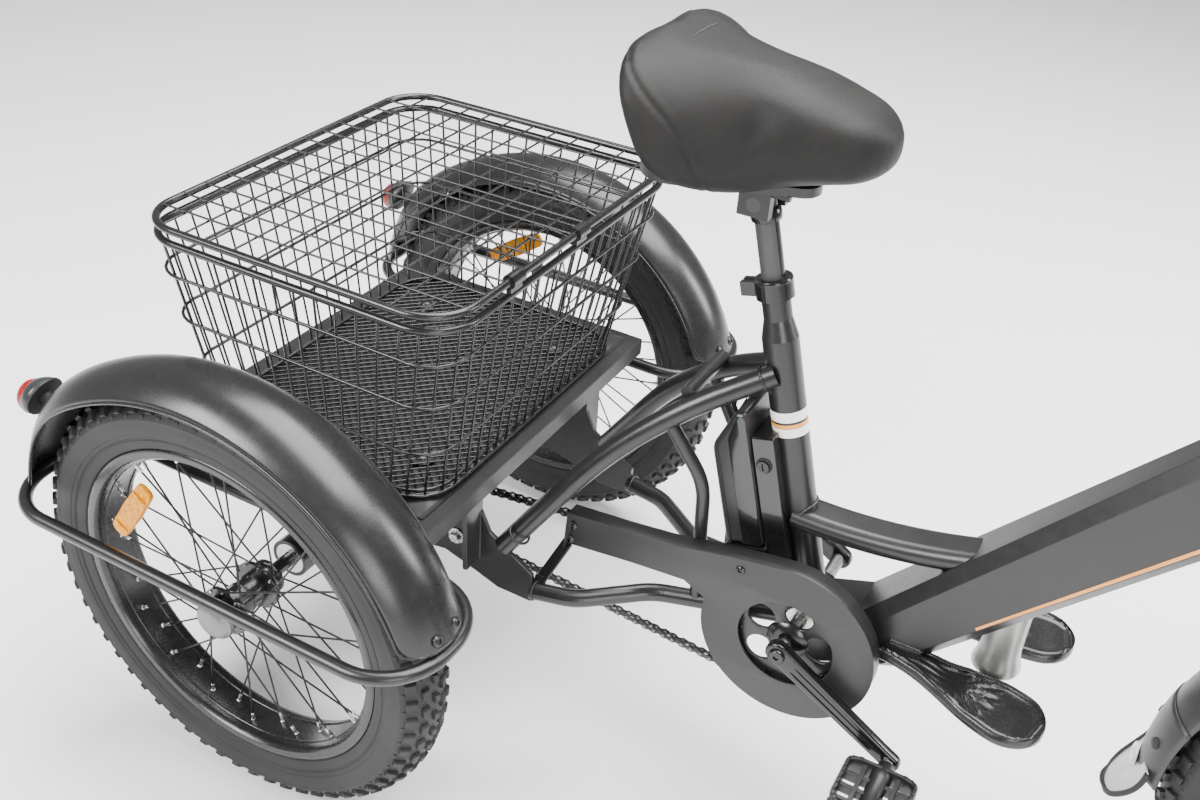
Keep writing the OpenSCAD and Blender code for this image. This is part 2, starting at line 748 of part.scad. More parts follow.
module rim_ring() upright() rotate_extrude($fn = 180) difference() {
    polygon([
        [rim_r, -rim_half], [rim_r, rim_half], [200, rim_half + 1], [rim_well_r, 22],
        [rim_well_r, -22], [200, -rim_half - 1]
    ]);
    polygon([
        [rim_r + 1, 3 - rim_half], [rim_r + 1, rim_half - 3], [200, 22], [198, 18], [198, -18], [200, -22]
    ]);
}

// Crossed spokes from two hub flanges to the rim well.
module spoke_set(flange_r, flange_y, lean) upright() for (i = [0 : spoke_count - 1]) {
    side = i % 2 ? 1 : -1;
    way = floor(i / 2) % 2 ? 1 : -1;
    at_rim = 360 * i / spoke_count;
    at_hub = at_rim + way * lean;
    rod([flange_r * cos(at_hub), flange_r * sin(at_hub), side * flange_y + way * 1.6],
        [(rim_well_r + 1) * cos(at_rim), (rim_well_r + 1) * sin(at_rim), side * 6 + way * 1.2], 2.3);
}

hub_r = 19;
hub_flange_r = 31;
hub_flange_y = 26;

// A rear hub, its flanges and the shaft that carries it in to the housing.
module rear_hub(shaft_in) {
    tube_solid(-40, 45, hub_r);
    for (s = [-1, 1]) translate([0, s * hub_flange_y, 0]) tube_solid(-2.5, 2.5, hub_flange_r);
    tube_solid(45, half_track - shaft_in, shaft_r);
}

module hub_cap() {
    tube_solid(-47, -40, 24);
    translate([0, -47, 0]) upright() cylinder(r1 = 24, r2 = 17, h = 5);
    translate([0, -52, 0]) upright() cylinder(r1 = 17, r2 = 6, h = 3);
}

reflector_r = 155;

// The reflector lies square to the spokes, at an angle round the wheel.
module wheel_reflector(angle)
    rotate([0, -angle, 0]) translate([reflector_r, -26, 0]) cube([26, 6, 104], center = true);

module at_right_wheel() from_rear_axle() translate([0, -half_track, tyre_r]) children();
module at_left_wheel() from_rear_axle() translate([0, half_track, tyre_r]) mirror([0, 1, 0]) children();

module tyre_right() color(tyre_grey) at_right_wheel() tyre_ring();
module rim_right() color(steel_black) at_right_wheel() rim_ring();
module spokes_right() color(steel_black) at_right_wheel() spoke_set(hub_flange_r - 3, hub_flange_y, 60);
module hub_right() color(steel_black) at_right_wheel() rear_hub(45);
module hub_cap_right() color(hub_grey) at_right_wheel() hub_cap();
module reflector_right() color(amber) at_right_wheel() wheel_reflector(145.5);
module tyre_left() color(tyre_grey) at_left_wheel() tyre_ring();
module rim_left() color(steel_black) at_left_wheel() rim_ring();
module spokes_left() color(steel_black) at_left_wheel() spoke_set(hub_flange_r - 3, hub_flange_y, 60);
module hub_left() color(steel_black) at_left_wheel() rear_hub(-30);
module hub_cap_left() color(hub_grey) at_left_wheel() hub_cap();
module reflector_left() color(amber) at_left_wheel() wheel_reflector(123);

motor_r = 72;
motor_half = 27;
front_spoke_lean = 30;
rotor_r = 80;
rotor_y = 41;
front_axle_r = 6;

module at_front_wheel() from_rear_axle() translate(front_axle) children();

module front_tyre() color(tyre_grey) at_front_wheel() tyre_ring();
module front_rim() color(steel_black) at_front_wheel() rim_ring();
module front_spokes() color(steel_black) at_front_wheel()
    spoke_set(motor_r + 4, motor_half - 3, front_spoke_lean);

module front_hub() color(steel_black) at_front_wheel() difference() {
    union() {
        tube_solid(-motor_half, motor_half, motor_r);
        for (s = [-1, 1]) translate([0, s * (motor_half - 3), 0]) tube_solid(-2, 2, motor_r + 7);
        tube_solid(-38, rotor_y, 24);
        tube_solid(rotor_y - 2, rotor_y, rotor_r);
    }
    tube_solid(-60, 60, front_axle_r + play);
}

// ---- seat ----------------------------------------------------------------

post_low = 245;

module seat_post() color(steel_black) on_seat_tube() {
    translate([0, 0, post_low]) cylinder(r = post_r, h = saddle_pivot - post_low);
    translate([0, 28, saddle_pivot]) upright() cylinder(r = 8, h = 56);
}

pivot_x = crank_x - saddle_pivot * cos(seat_angle);
pivot_z = crank_z + saddle_pivot * sin(seat_angle);
rail_z = saddle_z - 12;
saddle_rear = 284;
saddle_nose = 562;
// half width, top and underside from the rear to the nose, evenly spaced
saddle_half = [130, 128, 97, 76, 70, 59, 43];
saddle_top = [930, 914, 902, 881];
saddle_low = [797, 786, 807, 823];
saddle_lean = 0.48;                   // how far the rear of the pad leans back
saddle_square = 2.8;
pan_rear = [350, 34, 36];             // centre, side offset and radius of the pan's rear corners
pan_nose = [470, 22];

pad_steps = [
    0, 0.005, 0.02, 0.045, 0.08, 0.13, 0.2, 0.28, 0.36, 0.44, 0.52, 0.6, 0.68, 0.76, 0.83,
    0.88, 0.92, 0.96, 0.985, 0.997, 1
];

// A smooth curve through evenly spaced values; t runs from 0 to 1.
function spread(values, t) =
    let (n = len(values) - 1, i = min(floor(t * n), n - 1), f = t * n - i)
    let (a = values[max(i - 1, 0)], b = values[i], c = values[i + 1], d = values[min(i + 2, n)])
    0.5 * (2 * b + (c - a) * f + (2 * a - 5 * b + 4 * c - d) * f * f + (3 * b - a - 3 * c + d) * f * f * f);

function bend(value, power) = sign(value) * pow(abs(value), power);

// One cross-section of the pad, drawn in towards its two rounded ends.
function pad_ring(t) =
    let (rear = min(t / 0.12, 1), nose = min((1 - t) / 0.14, 1))
    let (inset = max(pow(1 - pow(1 - rear, 2.2), 1 / 2.2) * sqrt(1 - pow(1 - nose, 2)), 0.02))
    let (top = spread(saddle_top, t), low = spread(saddle_low, t), half = inset * spread(saddle_half, t))
    let (middle = (top + low) / 2, reach = (top - low) / 2 * pow(inset, 0.7))
    [for (k = [0 : rod_fn - 1])
        let (a = 360 * k / rod_fn, z = middle + reach * bend(sin(a), 2 / saddle_square))
        [saddle_rear + (saddle_nose - saddle_rear) * t + saddle_lean * (top - z) * (1 - t),
            -half * bend(cos(a), 2 / saddle_square), z]];

module pan(grow, z, h) hull() {
    for (s = [-1, 1]) translate([pan_rear[0], s * pan_rear[1], z]) cylinder(r = pan_rear[2] + grow, h = h);
    translate([pan_nose[0], 0, z]) cylinder(r = pan_nose[1] + grow, h = h);
}

module saddle_frame() color(steel_black) from_rear_axle() {
    both_sides() {
        translate([pivot_x, 0, pivot_z]) difference() {
            translate([-17, -28, -13]) cube([34, 11, 30]);
            tube_solid(-30, 0, 8 + play);
        }
        rod([pan_rear[0] - 10, -22, rail_z], [pan_nose[0], -22, rail_z], 8);
    }
    pan(0, saddle_z - 10, 10);
}

module saddle_pad() color(vinyl) from_rear_axle() difference() {
    loft([for (t = pad_steps) pad_ring(t)]);
    pan(3, saddle_z - 100, 100);
}

// ---- steering ------------------------------------------------------------

module fork_upper() color(satin_black) on_steering_axis() {
    translate([0, 0, crown_low + 20]) cylinder(r = 14.3, h = 640 - crown_low - 20);
    for (s = [-1, 1]) translate([leg_x, s * leg_y, 150]) cylinder(r = 14, h = crown_low - 150 + 6);
    translate([-22, -leg_y - 18, crown_low]) cube([leg_x + 22 + 18, 2 * leg_y + 36, 36]);
}

stem_z = 600;
bar_at = [62, 0, 690];

// Grip ends lean back and down a little from the top of each rise.
bar_rise = [40, -150, 772];
bar_end = [-66, -bar_half, 786];
bar_knee = [bar_at[0], -78, bar_at[2]];
bar_path = concat([bar_end, bar_rise, bar_knee], mirror_y([bar_knee, bar_rise, bar_end]));

module handlebar() color(satin_black) on_steering_axis() {
    swept_bar(smooth_path(bar_path, 50), bar_d, [1, 0, 0]);
    difference() {
        union() {
            translate([0, 0, stem_z - 12]) cylinder(r = 19, h = 40);
            hull() {
                translate([6, -13, stem_z]) cube([10, 26, 22]);
                translate([bar_at[0] - 8, -15, bar_at[2] - 18]) cube([14, 30, 12]);
            }
            translate([bar_at[0], 20, bar_at[2]]) upright() cylinder(r = 18, h = 40);
        }
        translate([0, 0, stem_z - 30]) cylinder(r = 14.3, h = 80);
    }
    both_sides() brake_perch();
}

grip_way = unit(bar_end - bar_rise);
grip_len = 120;
grip_outer = bar_end - 4 * grip_way;
grip_inner = grip_outer - grip_len * grip_way;
perch_at = grip_inner - 26 * grip_way;
lever_pivot = perch_at + [30, 4, -6];

module sleeve(a, b, r, bore) {
    difference() {
        rod(a, b, 2 * r);
        rod(a - 2 * unit(b - a), b + 2 * unit(b - a), 2 * bore);
    }
}

module brake_perch() {
    rod(perch_at - 10 * grip_way, perch_at + 10 * grip_way, 32);
    translate(lever_pivot) {
        for (z = [-10, 6]) translate([-24, -7, z]) cube([32, 16, 4]);
        translate([0, 0, -10]) cylinder(r = 3, h = 20);
    }
}

module brake_lever() translate(lever_pivot) difference() {
    union() {
        translate([0, 0, -5.5]) cylinder(r = 8, h = 11);
        hull() {
            translate([0, 0, -4]) cylinder(r = 6, h = 8, $fn = rod_fn);
            translate([16, -30, -4]) cylinder(r = 5, h = 8, $fn = rod_fn);
        }
        hull() {
            translate([16, -30, -4]) cylinder(r = 5, h = 8, $fn = rod_fn);
            translate([-24, -124, -4]) cylinder(r = 6, h = 8, $fn = rod_fn);
        }
    }
    translate([0, 0, -12]) cylinder(r = 3 + play, h = 24);
}

module brake_lever_right() color(steel_black) on_steering_axis() brake_lever();
module brake_lever_left() color(steel_black) on_steering_axis() mirror([0, 1, 0]) brake_lever();

module grip_left() color(rubber_black) on_steering_axis() mirror([0, 1, 0])
    sleeve(grip_inner, grip_outer, 16.5, bar_d / 2);

module throttle_grip() color(rubber_black) on_steering_axis()
    sleeve(grip_inner, grip_outer, 16.5, bar_d / 2 + play);

module headlight() color(plastic_black) on_steering_axis() translate([leg_x + 24, 0, crown_low + 60]) {
    rotate([0, 90, 0]) {
        cylinder(r = 24, h = 26);
        translate([0, 0, 26]) cylinder(r = 29, h = 16);
    }
    translate([-10, -8, -30]) cube([14, 16, 30]);
}

leg_low = -24;
leg_high = 250;
leg_r = 18;
arch_x = leg_x + 22;                  // the arch passes in front of the legs
arch_z = 316;

// The brake caliper straddles the rotor behind the left leg.
module brake_caliper() {
    difference() {
        translate([-32, 28, 40]) cube([38, 24, 44]);
        translate([-40, rotor_y - 3.5, 30]) cube([60, 5, 64]);
    }
    translate([-8, 50, 48]) cube([31, 12, 30]);
}

module fork_lowers() color(steel_black) on_steering_axis() {
    for (s = [-1, 1]) difference() {
        translate([leg_x, s * leg_y, leg_low]) cylinder(r = leg_r, h = leg_high - leg_low);
        translate([leg_x, s * leg_y, 30]) cylinder(r = 14 + play, h = leg_high);
    }
    bent_tube([[arch_x, -leg_y, leg_high - 40], [arch_x, -leg_y, arch_z], [arch_x, leg_y, arch_z],
        [arch_x, leg_y, leg_high - 40]], 30, 12);
    translate([fork_offset, 0, 0]) tube_solid(-leg_y - 24, leg_y + 24, front_axle_r);
    brake_caliper();
}

module front_fender() color(plastic_black) at_front_wheel() {
    upright() rotate([0, 0, 52]) rotate_extrude(angle = 128, $fn = 180)
        fender_section(302, 56, 44, 2.5);
    upright() linear_extrude(2 * 36, center = true) polygon([
        [-302, 2], [-299, 0], [-301, -26], [-344, -58], [-348, -56], [-305, -22]
    ]);
    both_sides() rod([0, -leg_y - 21, 0], [-268, -43, 122], 5);
}

seat_tube();
down_tube();
brace_tube();
head_tube();
seat_stays();
chain_stays();
stay_struts();
drop_plates();
axle_housing();
bearings();
rear_deck();
basket();
basket_rim();
rear_fenders();
guard_hoops();
tail_light_housings();
tail_light_lenses();
chain_guard();
drive_chain();
battery_rail();
footrests();
controller_pod();
seat_clamp();
fasteners();
basket_lid();
battery_case();
key_lock();
tyre_right();
rim_right();
spokes_right();
hub_right();
hub_cap_right();
reflector_right();
tyre_left();
rim_left();
spokes_left();
hub_left();
hub_cap_left();
reflector_left();
drive_sprocket();
chainring();
crank_arms();
pedal_right();
pedal_left();
seat_post();
saddle_frame();
saddle_pad();
fork_upper();
handlebar();
headlight();
grip_left();
throttle_grip();
brake_lever_right();
brake_lever_left();
fork_lowers();
front_fender();
front_tyre();
front_rim();
front_spokes();
front_hub();
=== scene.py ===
import math

import bmesh
import bpy
from mathutils import Matrix, Vector
from mathutils.bvhtree import BVHTree


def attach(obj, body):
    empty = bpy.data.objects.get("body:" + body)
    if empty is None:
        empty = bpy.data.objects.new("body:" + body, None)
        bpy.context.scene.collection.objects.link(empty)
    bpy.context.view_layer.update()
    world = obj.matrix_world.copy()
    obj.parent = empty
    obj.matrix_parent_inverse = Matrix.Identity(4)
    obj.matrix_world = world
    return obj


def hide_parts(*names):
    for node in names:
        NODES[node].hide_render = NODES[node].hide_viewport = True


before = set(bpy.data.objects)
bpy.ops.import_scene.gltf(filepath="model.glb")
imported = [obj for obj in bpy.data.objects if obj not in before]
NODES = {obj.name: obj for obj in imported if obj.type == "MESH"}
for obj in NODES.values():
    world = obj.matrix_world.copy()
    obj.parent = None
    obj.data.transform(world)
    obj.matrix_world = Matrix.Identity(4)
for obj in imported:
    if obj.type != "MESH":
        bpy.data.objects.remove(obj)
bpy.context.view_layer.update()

# ---- places, in millimetres from the ground under the rear axle ------------

MID_X = 607.0
TYRE_R = 279.0
HALF_TRACK = 343.0
WHEELBASE = 1245.0
CRANK = (563.0, 289.0)
CRANK_LEN = 170.0
CRANK_Y = 98.0
CRANK_DROP = 31      # degrees below level, right arm forward
PEDAL_Y = 104.5
SEAT_ANGLE = 75.1
HEAD_ANGLE = 72
FORK_OFFSET = 45.0
SIDES = (("right", -1), ("left", 1))


def at(x, y, z):
    return Vector(((x - MID_X) / 1000, y / 1000, z / 1000))


def turn(degrees, axis):
    return Matrix.Rotation(math.radians(degrees), 4, axis)


def shift(x, y, z):
    return Matrix.Translation((x, y, z))


def polar(r, a):
    return r * math.cos(a), r * math.sin(a)


def angles(count):
    """Evenly spaced angles round a full turn, in radians."""
    return [2 * math.pi * k / count for k in range(count)]


# Each of these matrices takes millimetres in its own frame to metres in the model's.
MM = Matrix.Diagonal((0.001, 0.001, 0.001, 1))
FLIP_Y = Matrix.Diagonal((1, -1, 1, 1))
FROM_AXLE = Matrix.Translation(at(0, 0, 0)) @ MM
SEAT_TUBE = Matrix.Translation(at(CRANK[0], 0, CRANK[1])) @ turn(SEAT_ANGLE - 90, "Y") @ MM
FRONT_WHEEL = Matrix.Translation(at(WHEELBASE, 0, TYRE_R)) @ MM
STEERING = FRONT_WHEEL @ turn(HEAD_ANGLE - 90, "Y") @ shift(-FORK_OFFSET, 0, 0)
RIGHT_WHEEL = Matrix.Translation(at(0, -HALF_TRACK, TYRE_R)) @ MM
LEFT_WHEEL = Matrix.Translation(at(0, HALF_TRACK, TYRE_R)) @ MM @ FLIP_Y
ALONG_Y = turn(90, "X")     # a shape drawn round Z lies along -Y


# ---- mesh building ---------------------------------------------------------

def frames_along(path, closed):
    """Tangent and two normals at every point of a path, without twist."""
    n = len(path)
    tangents = []
    for i in range(n):
        a = path[i - 1] if i > 0 or closed else path[i]
        b = path[(i + 1) % n] if i < n - 1 or closed else path[i]
        tangents.append((b - a).normalized())
    up = Vector((0, 0, 1)) if abs(tangents[0].z) < 0.9 else Vector((1, 0, 0))
    u = tangents[0].cross(up).normalized()
    rows = []
    for t in tangents:
        u = (u - t * u.dot(t)).normalized()
        rows.append((t, u, t.cross(u)))
    return rows


def quads(rows, cols, ring=False, loop=False, flip=False):
    """Faces between rows of points: ring closes each row, loop joins the last row to the first."""
    out = []
    for i in range(rows if loop else rows - 1):
        j = (i + 1) % rows
        for k in range(cols if ring else cols - 1):
            q = (k + 1) % cols
            a, b, c, d = i * cols + k, i * cols + q, j * cols + q, j * cols + k
            out.append((a, d, c, b) if flip else (a, b, c, d))
    return out


class Shape:
    """Collects faces in millimetres and makes one object of them."""

    def __init__(self, matrix=FROM_AXLE):
        self.matrix = matrix
        self.v, self.f, self.m = [], [], []

    def add(self, verts, faces, slot=0, local=None):
        base = len(self.v)
        for p in verts:
            p = Vector(p)
            self.v.append(local @ p if local else p)
        for f in faces:
            self.f.append(tuple(base + i for i in f))
            self.m.append(slot)

    def sweep(self, path, radius, sides=8, closed=False, squeeze=1.0):
        """A round bar along a path; radius may be a list, and squeeze flattens it."""
        path = [Vector(p) for p in path]
        rows = frames_along(path, closed)
        n = len(path)
        radii = radius if isinstance(radius, (list, tuple)) else [radius] * n
        verts = []
        for p, (t, u, w), r in zip(path, rows, radii):
            for a in angles(sides):
                verts.append(p + r * (math.cos(a) * u + squeeze * math.sin(a) * w))
        faces = quads(n, sides, ring=True, loop=closed)
        if not closed:
            faces.append(tuple(reversed(range(sides))))
            faces.append(tuple((n - 1) * sides + k for k in range(sides)))
        self.add(verts, faces)

    def lathe(self, profile, segments=48, local=None):
        """Turns (radius, height) points round Z; the ends close where the radius is 0."""
        verts = [(*polar(r, a), z) for a in angles(segments) for r, z in profile]
        self.add(verts, quads(segments, len(profile), loop=True, flip=True), local=local)

    def block(self, size, local, top=1.0):
        """A block with its middle at the origin of local; top scales its upper face."""
        x, y, z = (s / 2 for s in size)
        verts = [(-x, -y, -z), (x, -y, -z), (x, y, -z), (-x, y, -z)]
        verts += [(px * top, py * top, z) for px, py, pz in verts]
        faces = [(3, 2, 1, 0), (4, 5, 6, 7), (0, 1, 5, 4), (1, 2, 6, 5), (2, 3, 7, 6), (3, 0, 4, 7)]
        self.add(verts, faces, local=local)

    def make(self, name, materials, body, smooth=35, bevel=0.0, steps=2, replaces=(), slot=None,
             weld=False, thick=0.0):
        mesh = bpy.data.meshes.new(name)
        mesh.from_pydata([self.matrix @ p for p in self.v], [], self.f)
        obj = bpy.data.objects.new(name, mesh)
        bpy.context.scene.collection.objects.link(obj)
        for m in materials if isinstance(materials, (list, tuple)) else [materials]:
            mesh.materials.append(m)
        mesh.polygons.foreach_set("material_index", self.m)
        return finish_piece(obj, body, smooth, bevel, steps, replaces, weld, thick)


def add_bevel(obj, width, segments, angle):
    b = obj.modifiers.new("bevel", "BEVEL")
    b.width, b.segments = width / 1000, segments
    b.limit_method, b.angle_limit = "ANGLE", math.radians(angle)
    return b


def finish_piece(obj, body, smooth=35, bevel=0.0, steps=2, replaces=(), weld=False,
                 thick=0.0):
    mesh = obj.data
    if weld or obj.matrix_world.determinant() < 0:
        bm = bmesh.new()
        bm.from_mesh(mesh)
        if weld:
            bmesh.ops.remove_doubles(bm, verts=bm.verts, dist=0.00002)
        bmesh.ops.recalc_face_normals(bm, faces=bm.faces)
        bm.to_mesh(mesh)
        bm.free()
    mesh.polygons.foreach_set("use_smooth", [True] * len(mesh.polygons))
    if smooth < 180:
        mesh.set_sharp_from_angle(angle=math.radians(smooth))
    if thick:
        s = obj.modifiers.new("thickness", "SOLIDIFY")
        s.thickness, s.offset = thick / 1000, -1
    if bevel:
        add_bevel(obj, bevel, steps, smooth).harden_normals = True
    mesh.update()
    if body:
        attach(obj, body)
    if replaces:
        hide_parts(*replaces)
    return obj


def plate(name, loops, thickness, matrix, material, body, bevel=1.0, replaces=(), middle=0.0):
    """A flat plate with holes, from closed loops of (x, y) points; its edges are rounded."""
    curve = bpy.data.curves.new(name, "CURVE")
    curve.dimensions, curve.fill_mode = "2D", "BOTH"
    for loop in loops:
        spline = curve.splines.new("POLY")
        spline.points.add(len(loop) - 1)
        for point, (x, y) in zip(spline.points, loop):
            point.co = (x, y, 0, 1)
        spline.use_cyclic_u = True
    curve.extrude = thickness / 2 - bevel
    curve.bevel_depth, curve.bevel_resolution = bevel, 2
    curve.offset = -bevel
    holder = bpy.data.objects.new(name + "_curve", curve)
    bpy.context.scene.collection.objects.link(holder)
    mesh = bpy.data.meshes.new_from_object(holder.evaluated_get(bpy.context.evaluated_depsgraph_get()))
    bpy.data.objects.remove(holder)
    bpy.data.curves.remove(curve)
    mesh.name = name
    mesh.transform(matrix @ shift(0, 0, middle))
    obj = bpy.data.objects.new(name, mesh)
    bpy.context.scene.collection.objects.link(obj)
    mesh.materials.clear()
    mesh.materials.append(material)
    return finish_piece(obj, body, 40, replaces=replaces, weld=True)


def circle(cx, cy, r, count=48, start=0.0, sweep=360.0):
    full = sweep >= 359.9
    steps = count if full else count - 1
    return [(cx + r * math.cos(math.radians(start + sweep * i / steps)),
             cy + r * math.sin(math.radians(start + sweep * i / steps))) for i in range(count)]


def rounded(points, radius, steps=5):
    """A closed outline with every corner rounded; radius may be a list."""
    out, n = [], len(points)
    for i, p in enumerate(points):
        p = Vector(p)
        a, b = (Vector(points[i - 1]) - p), (Vector(points[(i + 1) % n]) - p)
        r = radius[i] if isinstance(radius, (list, tuple)) else radius
        angle = a.angle(b)
        cut = min(r / math.tan(angle / 2), a.length * 0.48, b.length * 0.48)
        r = cut * math.tan(angle / 2)
        a.normalize()
        b.normalize()
        centre = p + (a + b).normalized() * (r / math.sin(angle / 2))
        start, end = p + a * cut - centre, p + b * cut - centre
        for k in range(steps + 1):
            t = k / steps
            q = (start * (1 - t) + end * t).normalized() * r
            out.append(tuple(centre + q))
    return out


def rod_matrix(a, b):
    """Z runs from a to b."""
    a, b = Vector(a), Vector(b)
    return Matrix.Translation(a) @ (b - a).to_track_quat("Z", "Y").to_matrix().to_4x4()


# ---- materials -------------------------------------------------------------

class Nodes:
    def __init__(self, name):
        self.material = bpy.data.materials.new(name)
        self.material.use_nodes = True
        self.tree = self.material.node_tree
        self.shader = self.tree.nodes["Principled BSDF"]
        self.coord = self.tree.nodes.new("ShaderNodeTexCoord").outputs["Object"]

    def new(self, kind, **values):
        node = self.tree.nodes.new(kind)
        for key, value in values.items():
            if hasattr(node, key):
                setattr(node, key, value)
            else:
                node.inputs[key].default_value = value
        return node

    def link(self, a, b):
        self.tree.links.new(a, b)

    def noise(self, scale, detail=3.0, rough=0.55, stretch=None):
        node = self.new("ShaderNodeTexNoise", Scale=scale, Detail=detail, Roughness=rough)
        self.link(self.mapped(stretch), node.inputs["Vector"])
        return node.outputs["Fac"]

    def mapped(self, stretch):
        if not stretch:
            return self.coord
        node = self.new("ShaderNodeMapping")
        node.inputs["Scale"].default_value = stretch
        self.link(self.coord, node.inputs["Vector"])
        return node.outputs["Vector"]

    def cells(self, scale, feature="F1"):
        node = self.new("ShaderNodeTexVoronoi", feature=feature)
        node.inputs["Scale"].default_value = scale
        self.link(self.coord, node.inputs["Vector"])
        return node.outputs["Distance"]

    def ramp(self, source, low, high, a=0.35, b=0.65):
        node = self.new("ShaderNodeMapRange")
        node.inputs["From Min"].default_value, node.inputs["From Max"].default_value = a, b
        node.inputs["To Min"].default_value, node.inputs["To Max"].default_value = low, high
        self.link(source, node.inputs["Value"])
        return node.outputs["Result"]

    def mix(self, factor, a, b):
        node = self.new("ShaderNodeMix", data_type="RGBA")
        self.link(factor, node.inputs["Factor"])
        for socket, value in ((node.inputs[6], a), (node.inputs[7], b)):
            if isinstance(value, tuple):
                socket.default_value = (*value, 1)
            else:
                self.link(value, socket)
        return node.outputs[2]

    def maths(self, operation, a, b):
        node = self.new("ShaderNodeMath", operation=operation)
        for socket, value in zip(node.inputs, (a, b)):
            if isinstance(value, (int, float)):
                socket.default_value = value
            else:
                self.link(value, socket)
        return node.outputs[0]

    def bump(self, height, strength, distance):
        node = self.new("ShaderNodeBump")
        node.inputs["Strength"].default_value = strength
        node.inputs["Distance"].default_value = distance
        self.link(height, node.inputs["Height"])
        self.link(node.outputs["Normal"], self.shader.inputs["Normal"])

    def set(self, **values):
        for key, value in values.items():
            self.shader.inputs[key.replace("_", " ")].default_value = value


def coated(name, dark, light, rough, grain=1400.0, bump=0.12, depth=0.00012, metal=0.0, patch=9.0, **more):
    """A finish with soft colour patches, uneven gloss and a fine surface."""
    m = Nodes(name)
    patches = m.noise(patch, 4.0)
    fine = m.noise(grain, 2.0)
    marks = m.noise(patch * 9, 5.0, 0.65)
    colour = m.mix(m.ramp(patches, 0.0, 1.0), dark, light)
    lift = tuple(min(1.0, c * 1.3 + 0.0012) for c in light)
    m.link(m.mix(m.ramp(marks, 0.0, 0.5, 0.58, 0.78), colour, lift), m.shader.inputs["Base Color"])
    m.link(m.ramp(m.maths("ADD", marks, fine), rough - 0.05, rough + 0.05, 0.7, 1.3),
           m.shader.inputs["Roughness"])
    m.bump(fine, bump, depth)
    m.set(Metallic=metal, **more)
    return m.material


def vinyl():
    """Grained leathercloth: small rounded cells with painted shade in the creases between them, a few pores
    and a soft sheen.
    """
    m = Nodes("grained_vinyl")
    cells = m.cells(620.0, "DISTANCE_TO_EDGE")
    fine = m.noise(1500.0, 2.0)
    broad = m.noise(14.0, 4.0)
    grain = m.maths("ADD", m.ramp(cells, 0.0, 1.0, 0.0, 0.28), m.maths("MULTIPLY", fine, 0.5))
    base = m.mix(m.ramp(broad, 0.0, 1.0), (0.0075, 0.0070, 0.0065), (0.0110, 0.0103, 0.0096))
    # painted shade: the cell edges, where the grain creases, are darkened toward the near-black colour below
    crease_shade = m.ramp(cells, 1.0, 0.0, 0.0, 0.09)
    dark = (0.0035, 0.0033, 0.0031)
    m.link(m.mix(m.maths("MULTIPLY", crease_shade, 0.55), base, dark), m.shader.inputs["Base Color"])
    m.link(m.ramp(m.maths("ADD", broad, fine), 0.50, 0.62, 0.8, 1.2), m.shader.inputs["Roughness"])
    m.bump(grain, 0.30, 0.00025)
    m.set(Specular_IOR_Level=0.22)
    return m.material


def reflector(name, prism_shade, prism_glint, scale=230.0):
    """Moulded reflector plastic with a fine prism grid behind a glossy face; the grid is a bump, and its
    light and dark are painted into the colour: a painted glint in the middle of each cell and painted shade
    at its edges.
    """
    m = Nodes(name)
    prisms = m.cells(scale)
    broad = m.noise(40.0, 3.0)
    # painted glint at the middle of each prism cell, painted shade toward its edges
    m.link(m.mix(m.ramp(prisms, 0.0, 1.0, 0.1, 0.75), prism_glint, prism_shade), m.shader.inputs["Base Color"])
    m.link(m.ramp(broad, 0.12, 0.24), m.shader.inputs["Roughness"])
    m.bump(prisms, 0.5, 0.0007)
    m.set(Coat_Weight=0.04, Coat_Roughness=0.1, IOR=1.22)
    return m.material


def metal(name, dark, light, rough, brushed=None, scale=700.0, bump=0.08):
    m = Nodes(name)
    fine = m.noise(scale, 4.0, stretch=brushed)
    broad = m.noise(26.0, 4.0)
    m.link(m.mix(m.ramp(m.maths("ADD", fine, broad), 0.0, 1.0, 0.75, 1.25), dark, light),
           m.shader.inputs["Base Color"])
    m.link(m.ramp(fine, rough - 0.06, rough + 0.08), m.shader.inputs["Roughness"])
    m.bump(fine, bump, 0.0001)
    m.set(Metallic=1.0)
    return m.material


def rubber(name, dark, light, rough, dust=0.0):
    """Tyre rubber: fine mould texture, scuffs, and a trace of dust in the broad patches."""
    m = Nodes(name)
    fine = m.noise(1100.0, 3.0)
    scuffs = m.noise(95.0, 6.0, 0.7)
    broad = m.noise(11.0, 3.0)
    colour = m.mix(m.ramp(scuffs, 0.0, 1.0), dark, light)
    dusty = m.mix(m.ramp(broad, 0.0, dust, 0.42, 0.7), colour, (0.15, 0.145, 0.14))
    m.link(dusty, m.shader.inputs["Base Color"])
    m.link(m.ramp(m.maths("ADD", fine, scuffs), rough - 0.08, rough + 0.08, 0.75, 1.25),
           m.shader.inputs["Roughness"])
    m.bump(m.maths("ADD", fine, scuffs), 0.25, 0.0004)
    m.set(Specular_IOR_Level=0.28)
    return m.material


SATIN = coated("satin_paint", (0.0085, 0.0083, 0.0082), (0.0125, 0.0122, 0.0120), 0.32, grain=900,
               bump=0.10)
FENDER = coated("fender_paint", (0.0080, 0.0079, 0.0078), (0.0115, 0.0113, 0.0110), 0.29, grain=700,
                bump=0.07, patch=6.0)
DECK = coated("deck_paint", (0.0100, 0.0098, 0.0098), (0.0150, 0.0147, 0.0145), 0.42, grain=800, bump=0.22)
GLOSS = coated("gloss_paint", (0.0050, 0.0050, 0.0052), (0.0080, 0.0080, 0.0082), 0.19, grain=500,
               bump=0.05)
WIRE = coated("wire_coating", (0.0055, 0.0054, 0.0053), (0.0090, 0.0088, 0.0086), 0.26, grain=600,
              bump=0.12)
GUARD = coated("guard_paint", (0.0115, 0.0110, 0.0107), (0.0160, 0.0154, 0.0149), 0.42, grain=1000,
               bump=0.18)
